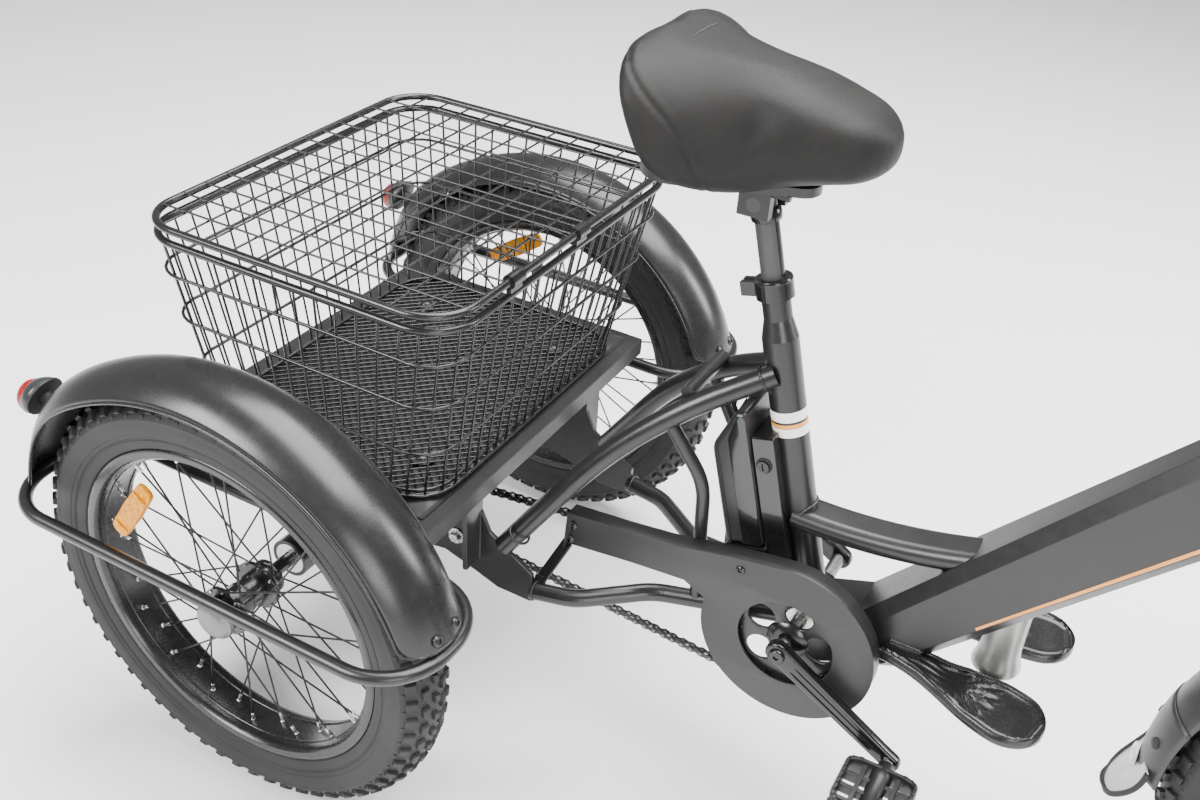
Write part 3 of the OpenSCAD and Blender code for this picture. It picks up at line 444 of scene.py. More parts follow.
PLASTIC = coated("moulded_plastic", (0.0080, 0.0080, 0.0082), (0.0120, 0.0120, 0.0122), 0.40, grain=1800,
                 bump=0.28, depth=0.0001)
CASE = coated("battery_plastic", (0.0125, 0.0125, 0.0127), (0.0180, 0.0179, 0.0180), 0.33, grain=1700,
              bump=0.18)
PIANO = coated("gloss_plastic", (0.0045, 0.0045, 0.0046), (0.0068, 0.0068, 0.0070), 0.14, grain=300,
               bump=0.02, Coat_Weight=0.4, Coat_Roughness=0.05)
FENDER_PLASTIC = coated("front_fender_plastic", (0.017, 0.0160, 0.0172), (0.024, 0.0228, 0.0240), 0.42,
                        grain=1300, bump=0.2)
FLAP_GREY = coated("flap_silver", (0.40, 0.40, 0.385), (0.50, 0.50, 0.48), 0.36, grain=1200, bump=0.1,
                   metal=0.35)
RIM_PAINT = coated("rim_paint", (0.0080, 0.0078, 0.0077), (0.0130, 0.0126, 0.0122), 0.26, grain=600,
                   bump=0.06)
SPOKE = metal("spoke_black", (0.030, 0.029, 0.028), (0.055, 0.053, 0.050), 0.34)
NIPPLE = metal("nipple_silver", (0.62, 0.62, 0.60), (0.78, 0.78, 0.76), 0.26)
ZINC = metal("zinc_steel", (0.56, 0.56, 0.54), (0.76, 0.76, 0.74), 0.25)
HUB_GREY = metal("cast_grey", (0.17, 0.17, 0.168), (0.25, 0.25, 0.245), 0.42, scale=900.0, bump=0.25)
LIGHT_GREY = coated("light_housing", (0.022, 0.023, 0.023), (0.034, 0.035, 0.035), 0.30, grain=1200,
                    bump=0.1, metal=0.3)
CUP_GREY = metal("cup_metal", (0.33, 0.33, 0.315), (0.46, 0.46, 0.445), 0.35, brushed=(1, 1, 14))
CHAIN_STEEL = metal("chain_steel", (0.16, 0.155, 0.15), (0.34, 0.335, 0.32), 0.36)
CHAIN_DARK = metal("chain_dark", (0.035, 0.034, 0.033), (0.075, 0.073, 0.07), 0.38)
HUB_BLACK = coated("hub_paint", (0.0075, 0.0075, 0.0075), (0.0115, 0.0114, 0.0112), 0.22, grain=500,
                   bump=0.05)
SIDE_RUBBER = rubber("tyre_sidewall", (0.0125, 0.0122, 0.0119), (0.0195, 0.0190, 0.0185), 0.60, dust=0.05)
TREAD_RUBBER = rubber("tyre_tread", (0.0115, 0.0113, 0.0111), (0.019, 0.0187, 0.0184), 0.57, dust=0.05)
GRIP_RUBBER = rubber("grip_rubber", (0.020, 0.020, 0.020), (0.030, 0.030, 0.030), 0.60)
SEAL_RUBBER = rubber("seal_rubber", (0.014, 0.014, 0.014), (0.022, 0.022, 0.022), 0.52)
# each lens gets two colours: the painted shade and the painted glint of its prism grid
AMBER = reflector("amber_reflector", (0.56, 0.19, 0.0), (0.86, 0.36, 0.0))
RED = reflector("red_lens", (0.20, 0.004, 0.004), (0.42, 0.012, 0.010), 180.0)
CLEAR = reflector("clear_lens", (0.50, 0.52, 0.54), (0.82, 0.84, 0.86), 160.0)
VINYL = vinyl()
THREAD = rubber("seam_thread", (0.050, 0.048, 0.045), (0.075, 0.072, 0.068), 0.7)
WHITE_STRIPE = coated("white_stripe", (0.78, 0.78, 0.77), (0.86, 0.86, 0.85), 0.35, grain=900, bump=0.04)
CAST = coated("cast_black", (0.0070, 0.0066, 0.0063), (0.0125, 0.0117, 0.0110), 0.27, grain=700, bump=0.3,
              depth=0.0003, patch=40.0)
KNURL = coated("post_knurl", (0.030, 0.029, 0.028), (0.050, 0.048, 0.046), 0.46, grain=900, bump=0.6,
               depth=0.0004)
ORANGE_STRIPE = coated("orange_stripe", (0.72, 0.27, 0.05), (0.82, 0.33, 0.07), 0.36, grain=900, bump=0.04)

CAD_FINISH = {
    SATIN: "seat_tube down_tube brace_tube head_tube seat_stays chain_stays stay_struts drop_plates "
           "axle_housing guard_hoops fork_upper handlebar",
    DECK: "rear_deck",
    WIRE: "basket_rim basket_lid basket",
    FENDER: "rear_fenders",
    LIGHT_GREY: "tail_light_housings",
    RED: "tail_light_lenses",
    GUARD: "chain_guard",
    CHAIN_DARK: "drive_chain chainring",
    CHAIN_STEEL: "drive_sprocket",
    PIANO: "battery_rail",
    PLASTIC: "footrests pedal_right pedal_left headlight saddle_frame",
    CASE: "battery_case",
    CUP_GREY: "controller_pod",
    GLOSS: "key_lock seat_clamp crank_arms seat_post brake_lever_right brake_lever_left fork_lowers",
    ZINC: "fasteners bearings",
    SIDE_RUBBER: "tyre_right tyre_left front_tyre",
    RIM_PAINT: "rim_right rim_left front_rim",
    SPOKE: "spokes_right spokes_left front_spokes",
    HUB_BLACK: "hub_right hub_left front_hub",
    HUB_GREY: "hub_cap_right hub_cap_left",
    AMBER: "reflector_right reflector_left",
    VINYL: "saddle_pad",
    GRIP_RUBBER: "grip_left throttle_grip",
    FENDER_PLASTIC: "front_fender",
}
BEVELLED = {
    "rear_deck": 1.5, "drop_plates": 1.2, "battery_rail": 3.0, "seat_clamp": 1.4, "fork_upper": 3.0,
    "hub_right": 1.0, "hub_left": 1.0, "fasteners": 0.6, "down_tube": 2.5, "brake_lever_right": 2.0,
    "brake_lever_left": 2.0, "headlight": 1.5, "fork_lowers": 1.0, "front_hub": 2.0, "rim_right": 1.0,
    "rim_left": 1.0, "front_rim": 1.0, "saddle_frame": 1.5, "guard_hoops": 0.8,
}


def dress_cad():
    for material, names in CAD_FINISH.items():
        for name in names.split():
            obj = NODES[name]
            if obj.material_slots:
                for s in obj.material_slots:
                    s.material = material
            else:
                obj.data.materials.append(material)
    for name, width in BEVELLED.items():
        obj = NODES[name]
        w = obj.modifiers.new("weld", "WELD")
        w.merge_threshold = 0.00002
        add_bevel(obj, width, 2, 38).harden_normals = False
        n = obj.modifiers.new("normals", "WEIGHTED_NORMAL")
        n.keep_sharp = True


# ---- camera, light and floor -----------------------------------------------

CAMERA_AT = (0.2281, -1.1163, 1.2919)
CAMERA_YAW, CAMERA_PITCH, CAMERA_ROLL = 117.0, -33.5, 4.1
CAMERA_LENS = 37.917


def make_camera():
    yaw, pitch, roll = (math.radians(a) for a in (CAMERA_YAW, CAMERA_PITCH, CAMERA_ROLL))
    ahead = Vector((math.cos(pitch) * math.cos(yaw), math.cos(pitch) * math.sin(yaw), math.sin(pitch)))
    right = ahead.cross(Vector((0, 0, 1))).normalized()
    up = right.cross(ahead)
    side = right * math.cos(roll) + up * math.sin(roll)
    top = up * math.cos(roll) - right * math.sin(roll)
    data = bpy.data.cameras.new("camera")
    data.sensor_width, data.lens = 36.0, CAMERA_LENS
    data.clip_start, data.clip_end = 0.02, 60
    camera = bpy.data.objects.new("camera", data)
    bpy.context.scene.collection.objects.link(camera)
    rows = Matrix((side, top, -ahead)).transposed().to_4x4()
    camera.matrix_world = Matrix.Translation(CAMERA_AT) @ rows
    bpy.context.scene.camera = camera


def area_light(name, place, target, size, power):
    data = bpy.data.lights.new(name, "AREA")
    data.shape, data.size, data.size_y = "RECTANGLE", size[0], size[1]
    data.energy = power
    light = bpy.data.objects.new(name, data)
    bpy.context.scene.collection.objects.link(light)
    light.location = place
    light.rotation_euler = (Vector(target) - Vector(place)).to_track_quat("-Z", "Y").to_euler()


def make_stage():
    floor = Shape(MM)
    n, half = 24, 9000.0
    verts = [(half * (2 * i / n - 1), half * (2 * j / n - 1), 0) for j in range(n + 1) for i in range(n + 1)]
    floor.add(verts, quads(n + 1, n + 1))
    pale = coated("pale_floor", (0.88, 0.88, 0.88), (0.90, 0.90, 0.90), 0.7, grain=200, bump=0.02, patch=1.5)
    obj = floor.make("floor", pale, None)
    world = bpy.data.worlds.new("studio")
    world.use_nodes = True
    world.node_tree.nodes["Background"].inputs["Color"].default_value = (0.96, 0.97, 1.0, 1)
    world.node_tree.nodes["Background"].inputs["Strength"].default_value = 0.4
    bpy.context.scene.world = world
    area_light("overhead", (0.2, 0.5, 3.2), (0.0, 0.0, 0.4), (3.6, 2.4), 420)
    area_light("key", (-1.9, -2.4, 2.4), (-0.2, 0.0, 0.4), (1.8, 1.3), 190)
    area_light("rim", (2.8, 1.8, 2.0), (0.1, 0.0, 0.5), (0.8, 1.9), 120)
    area_light("fill", (2.2, -2.8, 1.4), (0.2, 0.0, 0.3), (1.5, 1.5), 70)


# ---- wheels ----------------------------------------------------------------

SECTION_R = 240.5       # the tyre's cross-section is an ellipse round this radius
SECTION_H = 33.6
SECTION_W = 36.4


def tread_point(angle, phi, lift):
    """A point on the tread: angle round the wheel, phi round the section, lift above the surface."""
    a, p = math.radians(angle), math.radians(phi)
    y, r = SECTION_W * math.sin(p), SECTION_R + SECTION_H * math.cos(p)
    normal = Vector((math.sin(p) / SECTION_W, math.cos(p) / SECTION_H)).normalized()
    y, r = y + lift * normal.x, r + lift * normal.y
    return (r * math.cos(a), y, r * math.sin(a))


def knob(shape, angle, phi, half_a, half_p, lift, skew=0.0):
    """One tread block, narrower at its top; half_a and half_p are half its angles."""
    verts = []
    for height, scale in ((-1.5, 1.08), (lift * 0.78, 0.94), (lift, 0.78)):
        for i, j in ((-1, -1), (1, -1), (1, 1), (-1, 1)):
            verts.append(tread_point(angle + i * half_a * scale + j * skew, phi + j * half_p * scale, height))
    shape.add(verts, [(8, 9, 10, 11)] + quads(3, 4, ring=True), 1)


def tyre(name, matrix, body, node):
    s = Shape(matrix)
    side = [(28.0, 210.4), (30.2, 212.2), (31.6, 216.5), (32.3, 222.5), (31.5, 223.6), (31.6, 225.0),
            (33.2, 226.4), (34.4, 230.5), (35.2, 231.2), (36.2, 236.0), (36.5, 242.0), (36.2, 248.0),
            (36.6, 249.6), (35.6, 252.0)]
    crown = [(SECTION_W * math.sin(math.radians(p)), SECTION_R + SECTION_H * math.cos(math.radians(p)))
             for p in range(66, -1, -6)]
    half = side + crown
    ring = [(y, r) for y, r in half] + [(-y, r) for y, r in reversed(half[:-1])]
    n, around, tread = len(ring), 160, len(side)
    verts = [(r * math.cos(a), y, r * math.sin(a)) for a in angles(around) for y, r in ring]
    s.add(verts, quads(around, n, ring=True, loop=True))
    s.m = [int(tread <= k < n - tread - 1) for k in range(n)] * around
    knobs = 62
    half_step = 180 / knobs
    for i in range(knobs):
        a = 360 * i / knobs
        for sign in (-1, 1):
            knob(s, a + (half_step if sign > 0 else 0), sign * 9.0, 1.15, 5.8, 4.4, 0.28 * sign)
            knob(s, a + half_step, sign * 29.5, 1.25, 6.6, 4.6, -0.22 * sign)
            knob(s, a, sign * 53.0, 1.15, 10.0, 4.4)
            knob(s, a + half_step, sign * 69.0, 0.7, 4.0, 1.6)
    return s.make(name, [SIDE_RUBBER, TREAD_RUBBER], body, smooth=32, replaces=[node], slot="tyre")


SPOKES = 36
NIPPLE_R = 194.0


def spoke_ends(flange_r, flange_y, lean):
    """Hub and rim end of every spoke; neighbours go to opposite flanges and cross by lean degrees."""
    for i in range(SPOKES):
        side = 1 if i % 2 else -1
        way = 1 if (i // 2) % 2 else -1
        t = math.radians(360 * i / SPOKES)
        h = t + math.radians(way * lean)
        hub = Vector((flange_r * math.cos(h), -(side * flange_y + way * 1.6), flange_r * math.sin(h)))
        rim = Vector((NIPPLE_R * math.cos(t), -(side * 6 + way * 1.2), NIPPLE_R * math.sin(t)))
        yield hub, rim


def nipples(name, matrix, body, flange_r, flange_y, lean):
    """The nipples at the rim and the bent spoke ends at the hub."""
    s = Shape(matrix)
    for hub, rim in spoke_ends(flange_r, flange_y, lean):
        inward = (hub - rim).normalized()
        place = rod_matrix(rim - inward * 1.5, hub)
        s.lathe([(0, 0), (3.4, 0), (3.2, 1.6), (2.3, 2.2), (2.3, 10), (2.0, 13.0), (1.2, 13.4)], 8, place)
        s.sweep([hub - inward * 4 + Vector((0, 2.6, 0)), hub, hub + inward * -1.0 - Vector((0, 2.6, 0))],
                1.5, 6)
    return s.make(name, NIPPLE, body, smooth=50, slot="zinc")


def rim_trim(name, matrix, body):
    """Thin turned bands on both side walls of a rim and on its inner face."""
    s = Shape(matrix)
    for sign in (-1, 1):
        band = [(199.5, 29.6), (205.0, 30.5), (209.0, 30.3), (210.0, 29.2)]
        s.lathe([(r, sign * y) for r, y in band], 160, local=ALONG_Y)
    for sign in (-1, 1):
        s.lathe([(193.7, sign * 15.0), (192.9, sign * 15.8), (192.9, sign * 17.0), (193.7, sign * 17.8)], 160,
                local=ALONG_Y)
    return s.make(name, RIM_PAINT, body, smooth=50, slot="gloss_black")


def hub_details(name, matrix, body):
    """Raised rings along a rear hub."""
    s = Shape(matrix)
    for y, r, w in ((-33.0, 21.5, 5.0), (33.0, 21.5, 5.0), (0.0, 20.0, 3.0), (44.0, 22.0, 6.0)):
        half = w / 2
        s.lathe([(r - 3, -half - 1.5), (r - 0.6, -half), (r, -half + 0.8), (r, half - 0.8), (r - 0.6, half),
                 (r - 3, half + 1.5)], 40, local=shift(0, y, 0) @ ALONG_Y)
    return s.make(name, HUB_BLACK, body, smooth=40, slot="gloss_black")


def hub_cap(name, matrix, body, node):
    s = Shape(matrix)
    s.lathe([(19.5, 39.5), (24.0, 40.0), (24.8, 41.5), (24.8, 45.0), (24.0, 46.6), (22.8, 47.2), (22.4, 48.6),
             (19.5, 51.2), (15.0, 53.2), (9.0, 54.4), (4.0, 54.8), (0.0, 54.9)], 48, local=ALONG_Y)
    return s.make(name, HUB_GREY, body, smooth=50, replaces=[node], slot="grey_metal")


def wheel_reflector(name, matrix, body, node, angle):
    place = matrix @ turn(-angle, "Y") @ shift(155, -26, 0)
    s = Shape(place)
    outline = rounded([(-11, -52), (11, -52), (13.5, 0), (11, 52), (-11, 52), (-13.5, 0)],
                      [8, 8, 60, 8, 8, 60], 5)
    for low, high, grow in ((-3.0, 1.2, 0.0), (1.2, 2.9, -1.6)):
        ring = [Vector((x, y)) for x, y in outline]
        top = [p * (1 + grow / p.length) for p in ring]
        n = len(ring)
        verts = [(p.x, -low, p.y) for p in ring] + [(p.x, -high, p.y) for p in top]
        s.add(verts, quads(2, n, ring=True) + [tuple(range(n, 2 * n)), tuple(reversed(range(n)))])
    for z in (-34, 34):
        s.sweep([(-10, -3.4, z), (0, -4.4, z), (10, -3.4, z)], 1.4, 6)
    s.make(name, AMBER, body, smooth=40, replaces=[node], slot="amber", bevel=0.5)
    clip = Shape(place)
    for z in (-30, 30):
        clip.sweep([(-9, 3.0, z), (-4, 7.0, z), (4, 7.0, z), (9, 3.0, z)], 1.8, 6)
    clip.make(name + "_clip", AMBER, body, smooth=50)


def make_wheels():
    for side, matrix, angle in (("right", RIGHT_WHEEL, 145.5), ("left", LEFT_WHEEL, 123)):
        body = "rear_wheel_" + side
        tyre("tyre_body_" + side, matrix, body, "tyre_" + side)
        nipples("nipples_" + side, matrix, body, 28, 26, 60)
        rim_trim("rim_bands_" + side, matrix, body)
        hub_details("hub_rings_" + side, matrix, body)
        hub_cap("hub_dome_" + side, matrix, body, "hub_cap_" + side)
        wheel_reflector("spoke_reflector_" + side, matrix, body, "reflector_" + side, angle)
    tyre("front_tyre_body", FRONT_WHEEL, "front_wheel", "front_tyre")
    nipples("front_nipples", FRONT_WHEEL, "front_wheel", 76, 24, 30)
    rim_trim("front_rim_bands", FRONT_WHEEL, "front_wheel")


# ---- rear fenders, hoops and lights ----------------------------------------

FENDER_R = 302.0        # the crown of a fender above the axle line


def fender_shell(name, centre_y):
    """A convex strip round an axle line, fuller behind, with rounded ends and a rolled edge."""
    start, end, curve, half, end_len = 16.1, 167.0, 62.0, 50.0, 30.0
    s = Shape()
    rows, cols = 96, 20
    reach = math.asin(half / curve)
    span = math.radians(end - start)
    total = span * FENDER_R
    edge_a, edge_b, grid = [], [], []
    for i in range(rows + 1):
        t = i / rows
        if t < 0.12:
            t = 0.12 * (t / 0.12) ** 1.6
        if t > 0.88:
            t = 1 - 0.12 * ((1 - t) / 0.12) ** 1.6
        a = math.radians(start) + span * t
        gap = min(t, 1 - t) * total
        width = 1.0
        if gap < end_len:
            width = max(0.04, (1 - (1 - gap / end_len) ** 3.2)) ** (1 / 3.2)
        row = []
        for k in range(cols + 1):
            psi = reach * width * (2 * k / cols - 1)
            bulge = 12.0 * math.exp(-((math.degrees(a) - 143.0) / 19.0) ** 2)
            r = FENDER_R + bulge - curve + curve * math.cos(psi)
            y = curve * math.sin(psi)
            row.append(Vector((r * math.cos(a), centre_y + y, TYRE_R + r * math.sin(a))))
        grid.append(row)
        edge_a.append(row[0])
        edge_b.append(row[-1])
    s.add([p for row in grid for p in row], quads(rows + 1, cols + 1))
    s.make(name, FENDER, "frame", smooth=60, thick=2.0, replaces=["rear_fenders"] if centre_y < 0 else ())
    bead = Shape()
    loop = edge_a + grid[-1][1:-1] + list(reversed(edge_b)) + list(reversed(grid[0][1:-1]))
    centre = Vector((0, centre_y, TYRE_R))
    spaced, last = [], None
    for p in loop:
        if last is None or (p - last).length > 1.2:
            spaced.append(p + (centre - p).normalized() * 1.2)
            last = p
    bead.sweep(spaced, 1.9, 8, closed=True)
    bead.make(name + "_edge", FENDER, "frame", smooth=60)


LENS_AT = (-302.0, 446.0)
LIGHT_ANGLE, LIGHT_TILT, LIGHT_REACH = 148.0, 161.0, 327.0


def light_ring(y, f, r):
    """A ring of the housing from its base, f = 0, to the lens, f = 1, turning to face straight back."""
    a = math.radians(LIGHT_ANGLE)
    tilt = math.radians(LIGHT_TILT + f * (180 - LIGHT_TILT))
    base = Vector((LIGHT_REACH * math.cos(a), y, TYRE_R + LIGHT_REACH * math.sin(a)))
    middle = base.lerp(Vector((LENS_AT[0], y, LENS_AT[1])), f)
    across, up = Vector((0, 1, 0)), Vector((-math.sin(tilt), 0, math.cos(tilt)))
    return [middle + r * math.cos(t) * across + r * math.sin(t) * up for t in angles(44)]


def tail_light(side, sign):
    y = sign * HALF_TRACK
    foot = FROM_AXLE @ shift(0, y, TYRE_R) @ turn(-LIGHT_ANGLE, "Y") \
        @ shift(FENDER_R, 0, 0) @ turn(90, "Y")
    a = math.radians(LIGHT_ANGLE)
    tilted = FROM_AXLE @ shift(LIGHT_REACH * math.cos(a), y, TYRE_R + LIGHT_REACH * math.sin(a)) \
        @ turn(90 - LIGHT_TILT, "Y")
    gasket = Shape(tilted)
    gasket.lathe([(8.0, -3.2), (22.6, -2.8), (25.0, -2.0), (25.6, -0.4), (25.3, 1.2), (24.0, 2.0),
                  (20, 2.2)], 48)
    gasket.lathe([(13.0, 10.5), (11.4, 12.6), (10.0, 14.4), (9.6, 25.0)], 32, local=tilted.inverted() @ foot)
    gasket.make("light_gasket_" + side, SEAL_RUBBER, "frame", smooth=40)
    shell = Shape()
    steps = ((0.03, 22.0), (0.05, 23.8), (0.09, 24.6), (0.20, 24.9), (0.32, 24.7),
             (0.44, 24.0), (0.54, 23.0), (0.62, 21.8), (0.66, 20.6), (0.64, 19.4))
    rings = [light_ring(y, f, r) for f, r in steps]
    shell.add([p for ring in rings for p in ring], quads(len(rings), len(rings[0]), ring=True))
    shell.make("light_housing_" + side, LIGHT_GREY, "frame", smooth=50, weld=True,
               replaces=["tail_light_housings"] if sign < 0 else (), slot="grey_metal")
    lens = Shape(FROM_AXLE @ shift(LENS_AT[0], y, LENS_AT[1]) @ turn(-90, "Y"))
    lens.lathe([(19.0, -9.6), (20.9, -9.0), (21.0, -6.4), (20.2, -5.8), (20.0, -2.6), (19.2, -1.8),
                (18.4, 0.8), (17.4, 1.4), (16.0, 3.4), (14.8, 3.9), (12.4, 5.4), (11.4, 5.8), (7.0, 7.2),
                (3.5, 7.7), (0.0, 7.8)], 48)
    lens.make("light_lens_" + side, RED, "frame", smooth=60,
              replaces=["tail_light_lenses"] if sign < 0 else (), slot="red_lens")


def make_fenders():
    for side, sign in SIDES:
        fender_shell("fender_" + side, sign * HALF_TRACK)
        tail_light(side, sign)
    screws = Shape()
    for sign in (-1, 1):
        for y in (-16, 16):
            head = shift(0, sign * HALF_TRACK + y, TYRE_R) @ turn(-18.4, "Y") \
                @ shift(299.2, 0, 0) @ turn(90, "Y")
            screws.lathe([(0, 0), (6.6, 0), (7.0, 0.8), (6.4, 2.6), (4.6, 3.8), (3.2, 4.2), (3.0, 2.6),
                          (0, 2.4)], 20, local=head)
    screws.make("fender_screws", SATIN, "frame", smooth=45)


# ---- deck and basket -------------------------------------------------------

def make_deck():
    """A corrugated carrier plate; near the deck's front edge, thin dark rods lying on it are painted shade
    standing for a folded groove.
    """
    s = Shape()
    x0, x1, half, z0 = -186.0, 172.0, 246.0, 400.2
    nx, ny = 60, 150
    verts = []
    for i in range(nx + 1):
        for j in range(ny + 1):
            x, y = x0 + (x1 - x0) * i / nx, -half + 2 * half * j / ny
            edge = min(1.0, min(x - x0, x1 - x) / 9.0) * min(1.0, min(y + half, half - y) / 9.0)
            wave = 0.5 + 0.5 * math.cos(2 * math.pi * y / 41.0)
            verts.append((x, y, z0 + 2.1 * edge * (0.35 + 0.65 * wave ** 1.5)))
    s.add(verts, quads(nx + 1, ny + 1, flip=True))
    s.make("deck_plate", DECK, "frame", smooth=60)
    # painted shade: thin dark rods lying on the deck stand for the shade in a folded groove near its front
    # edge
    g = Shape()
    for sign in (-1, 1):
        g.sweep([(60, sign * 249.0, 400.4), (176, sign * 249.0, 400.4)], 0.9, 6)
        g.sweep([(178.0, sign * 236, 400.3), (158.0, sign * 236, 400.3)], 1.3, 6)
    g.sweep([(178.0, -236, 400.3), (178.0, 236, 400.3)], 1.3, 6)
    g.make("deck_groove_shade", SEAL_RUBBER, "frame", smooth=60)


def basket_outline(level):
    """The basket's outline at a height from 0, the floor, to 1, the rim: its rear and front x, half width and
    corner radius.
    """
    x0, x1 = -158 + level * -32, 176 + level * 45
    half = 222 + level * 29
    r = 55.0
    return x0, x1, half, r


def outline_point(u, level, grow=0.0):
    """u runs 0 to 4 round the outline: each unit is one straight side and the corner after it."""
    x0, x1, half, r = basket_outline(level)
    side, t = int(u) % 4, u - int(u)
    corners = ((x1 - r, half - r), (x0 + r, half - r), (x0 + r, r - half), (x1 - r, r - half))
    start = corners[side - 1]
    end = corners[side]
    out = ((1, 0), (0, 1), (-1, 0), (0, -1))[side]
    straight = 0.8
    reach = r + grow
    if t < straight:
        f = t / straight
        return (start[0] + (end[0] - start[0]) * f + out[0] * reach,
                start[1] + (end[1] - start[1]) * f + out[1] * reach)
    a = math.atan2(out[1], out[0]) + math.pi / 2 * (t - straight) / (1 - straight)
    return end[0] + reach * math.cos(a), end[1] + reach * math.sin(a)


def ring_path(level, z, grow=0.0, bulge=0.0):
    path = []
    for side in range(4):
        for f in [0.0, 0.2, 0.4, 0.6] + [0.8 + 0.2 * k / 8 for k in range(8)]:
            extra = bulge * math.sin(math.pi * max(0.0, (f - 0.8) / 0.2)) if f > 0.8 else 0.0
            x, y = outline_point(side + f, level, grow + extra)
            path.append((x, y, z))
    return path


FLOOR_Z, RIM_Z = 405.0, 646.0


def make_basket():
    s = Shape()
    for side in range(4):
        straight = 17 if side % 2 == 0 else 12
        for k in range(straight):
            u = side + 0.8 * k / (straight - 1)
            side_wire(s, u)
        for k in (1, 2, 3):
            side_wire(s, side + 0.8 + 0.2 * k / 4)
    for level, z, r, bulge in ((0.0, FLOOR_Z + 1.0, 2.6, 0), (0.30, 476, 2.0, 4), (0.60, 546, 2.0, 5),
                               (0.86, 606, 2.0, 5)):
        s.sweep(ring_path(level, z, -2.0 if level else 0.0, bulge), r, 8, closed=True)
    s.sweep(ring_path(0.0, FLOOR_Z + 6.0, -5.0), 2.2, 8, closed=True)
    s.make("basket_wires", WIRE, "frame", smooth=80, replaces=["basket"], slot="gloss_black")
    floor = Shape()
    pitch = 13.5
    x0, x1, half, r = basket_outline(0.0)
    for way in (-1, 1):
        c = x0 - half
        while c < x1 + half:
            span = clip_diagonal(c, way, x0, x1, half, r)
            if span:
                z = FLOOR_Z + 2.4 + way * 0.8
                (ax, ay), (bx, by) = span
                floor.sweep([(ax, ay, z), ((ax + bx) / 2, (ay + by) / 2, z), (bx, by, z)], 1.15, 5)
            c += pitch
    floor.make("basket_floor", WIRE, "frame", smooth=80)


def side_wire(s, u):
    xt, yt = outline_point(u, 1.0, -1.0)
    xb, yb = outline_point(u, 0.0, -2.0)
    path = []
    for k in range(9):
        f = k / 8
        path.append((xb + (xt - xb) * f, yb + (yt - yb) * f, FLOOR_Z + (RIM_Z + 4 - FLOOR_Z) * f))
    s.sweep(path, 1.45, 6)


def inside_outline(x, y, x0, x1, half, r):
    dx = max(x0 + r - x, 0, x - (x1 - r))
    dy = max(-half + r - y, 0, y - (half - r))
    return x0 <= x <= x1 and abs(y) <= half and (dx * dx + dy * dy <= r * r)


def clip_diagonal(c, way, x0, x1, half, r):
    """The part of the line x - way * y = c that lies on the floor."""
    inside = []
    steps = 260
    for i in range(steps + 1):
        y = -half + 2 * half * i / steps
        x = c + way * y
        if inside_outline(x, y, x0, x1, half, r):
            inside.append((x, y))
    if len(inside) < 4:
        return None
    return inside[0], inside[-1]


# ---- drive -----------------------------------------------------------------

LINK = 12.7
RING_TEETH, COG_TEETH = 42, 14
RING_R = LINK / (2 * math.sin(math.pi / RING_TEETH))
COG_R = LINK / (2 * math.sin(math.pi / COG_TEETH))
CHAIN_Y = -70.0


def chain_route():
    """Where each pin of the chain is, in the X-Z plane."""
    cog, ring = Vector((0, TYRE_R)), Vector(CRANK)
    d = ring - cog
    rise = math.atan2(d.y, d.x)
    wrap = math.asin((RING_R - COG_R) / d.length)
    pieces = []
    top_a, bottom_a = rise + math.pi / 2 + wrap, rise - math.pi / 2 - wrap
    run = math.sqrt(d.length ** 2 - (RING_R - COG_R) ** 2)
    pieces.append(("arc", ring, RING_R, top_a, bottom_a))
    pieces.append(("line", ring + RING_R * unit(bottom_a), cog + COG_R * unit(bottom_a)))
    pieces.append(("arc", cog, COG_R, bottom_a, top_a - 2 * math.pi))
    pieces.append(("line", cog + COG_R * unit(top_a), ring + RING_R * unit(top_a)))
    total = RING_R * (math.pi + 2 * wrap) + COG_R * (math.pi - 2 * wrap) + 2 * run
    count = int(round(total / LINK / 2)) * 2
    step = total / count
    out = []
    for i in range(count):
        left = i * step
        for p in pieces:
            length = abs(p[3] - p[4]) * p[2] if p[0] == "arc" else (p[2] - p[1]).length
            if left > length:
                left -= length
                continue
            if p[0] == "arc":
                a = p[3] + (p[4] - p[3]) * left / length
                out.append(p[1] + p[2] * unit(a))
            else:
                out.append(p[1] + (p[2] - p[1]) * left / length)
            break
    return out


def unit(a):
    return Vector((math.cos(a), math.sin(a)))


def link_plate(s, a, b, y, thick, slot):
    """A waisted link plate between two pins."""
    d = b - a
    angle = math.atan2(d.y, d.x)
    outline = []
    for cx, base in ((0.0, math.pi / 2), (d.length, -math.pi / 2)):
        for k in range(7):
            t = base + math.pi * k / 6
            outline.append((cx + 4.3 * math.cos(t), 4.3 * math.sin(t)))
        outline.append((d.length / 2, -2.7 if cx == 0.0 else 2.7))
    c, si = math.cos(angle), math.sin(angle)
    n = len(outline)
    verts = []
    for yy in (y, y + thick):
        verts += [(a.x + px * c - pz * si, yy, a.y + px * si + pz * c) for px, pz in outline]
    ends = [tuple(range(n)), tuple(reversed(range(n, 2 * n)))]
    s.add(verts, ends + quads(2, n, ring=True, flip=True), slot)


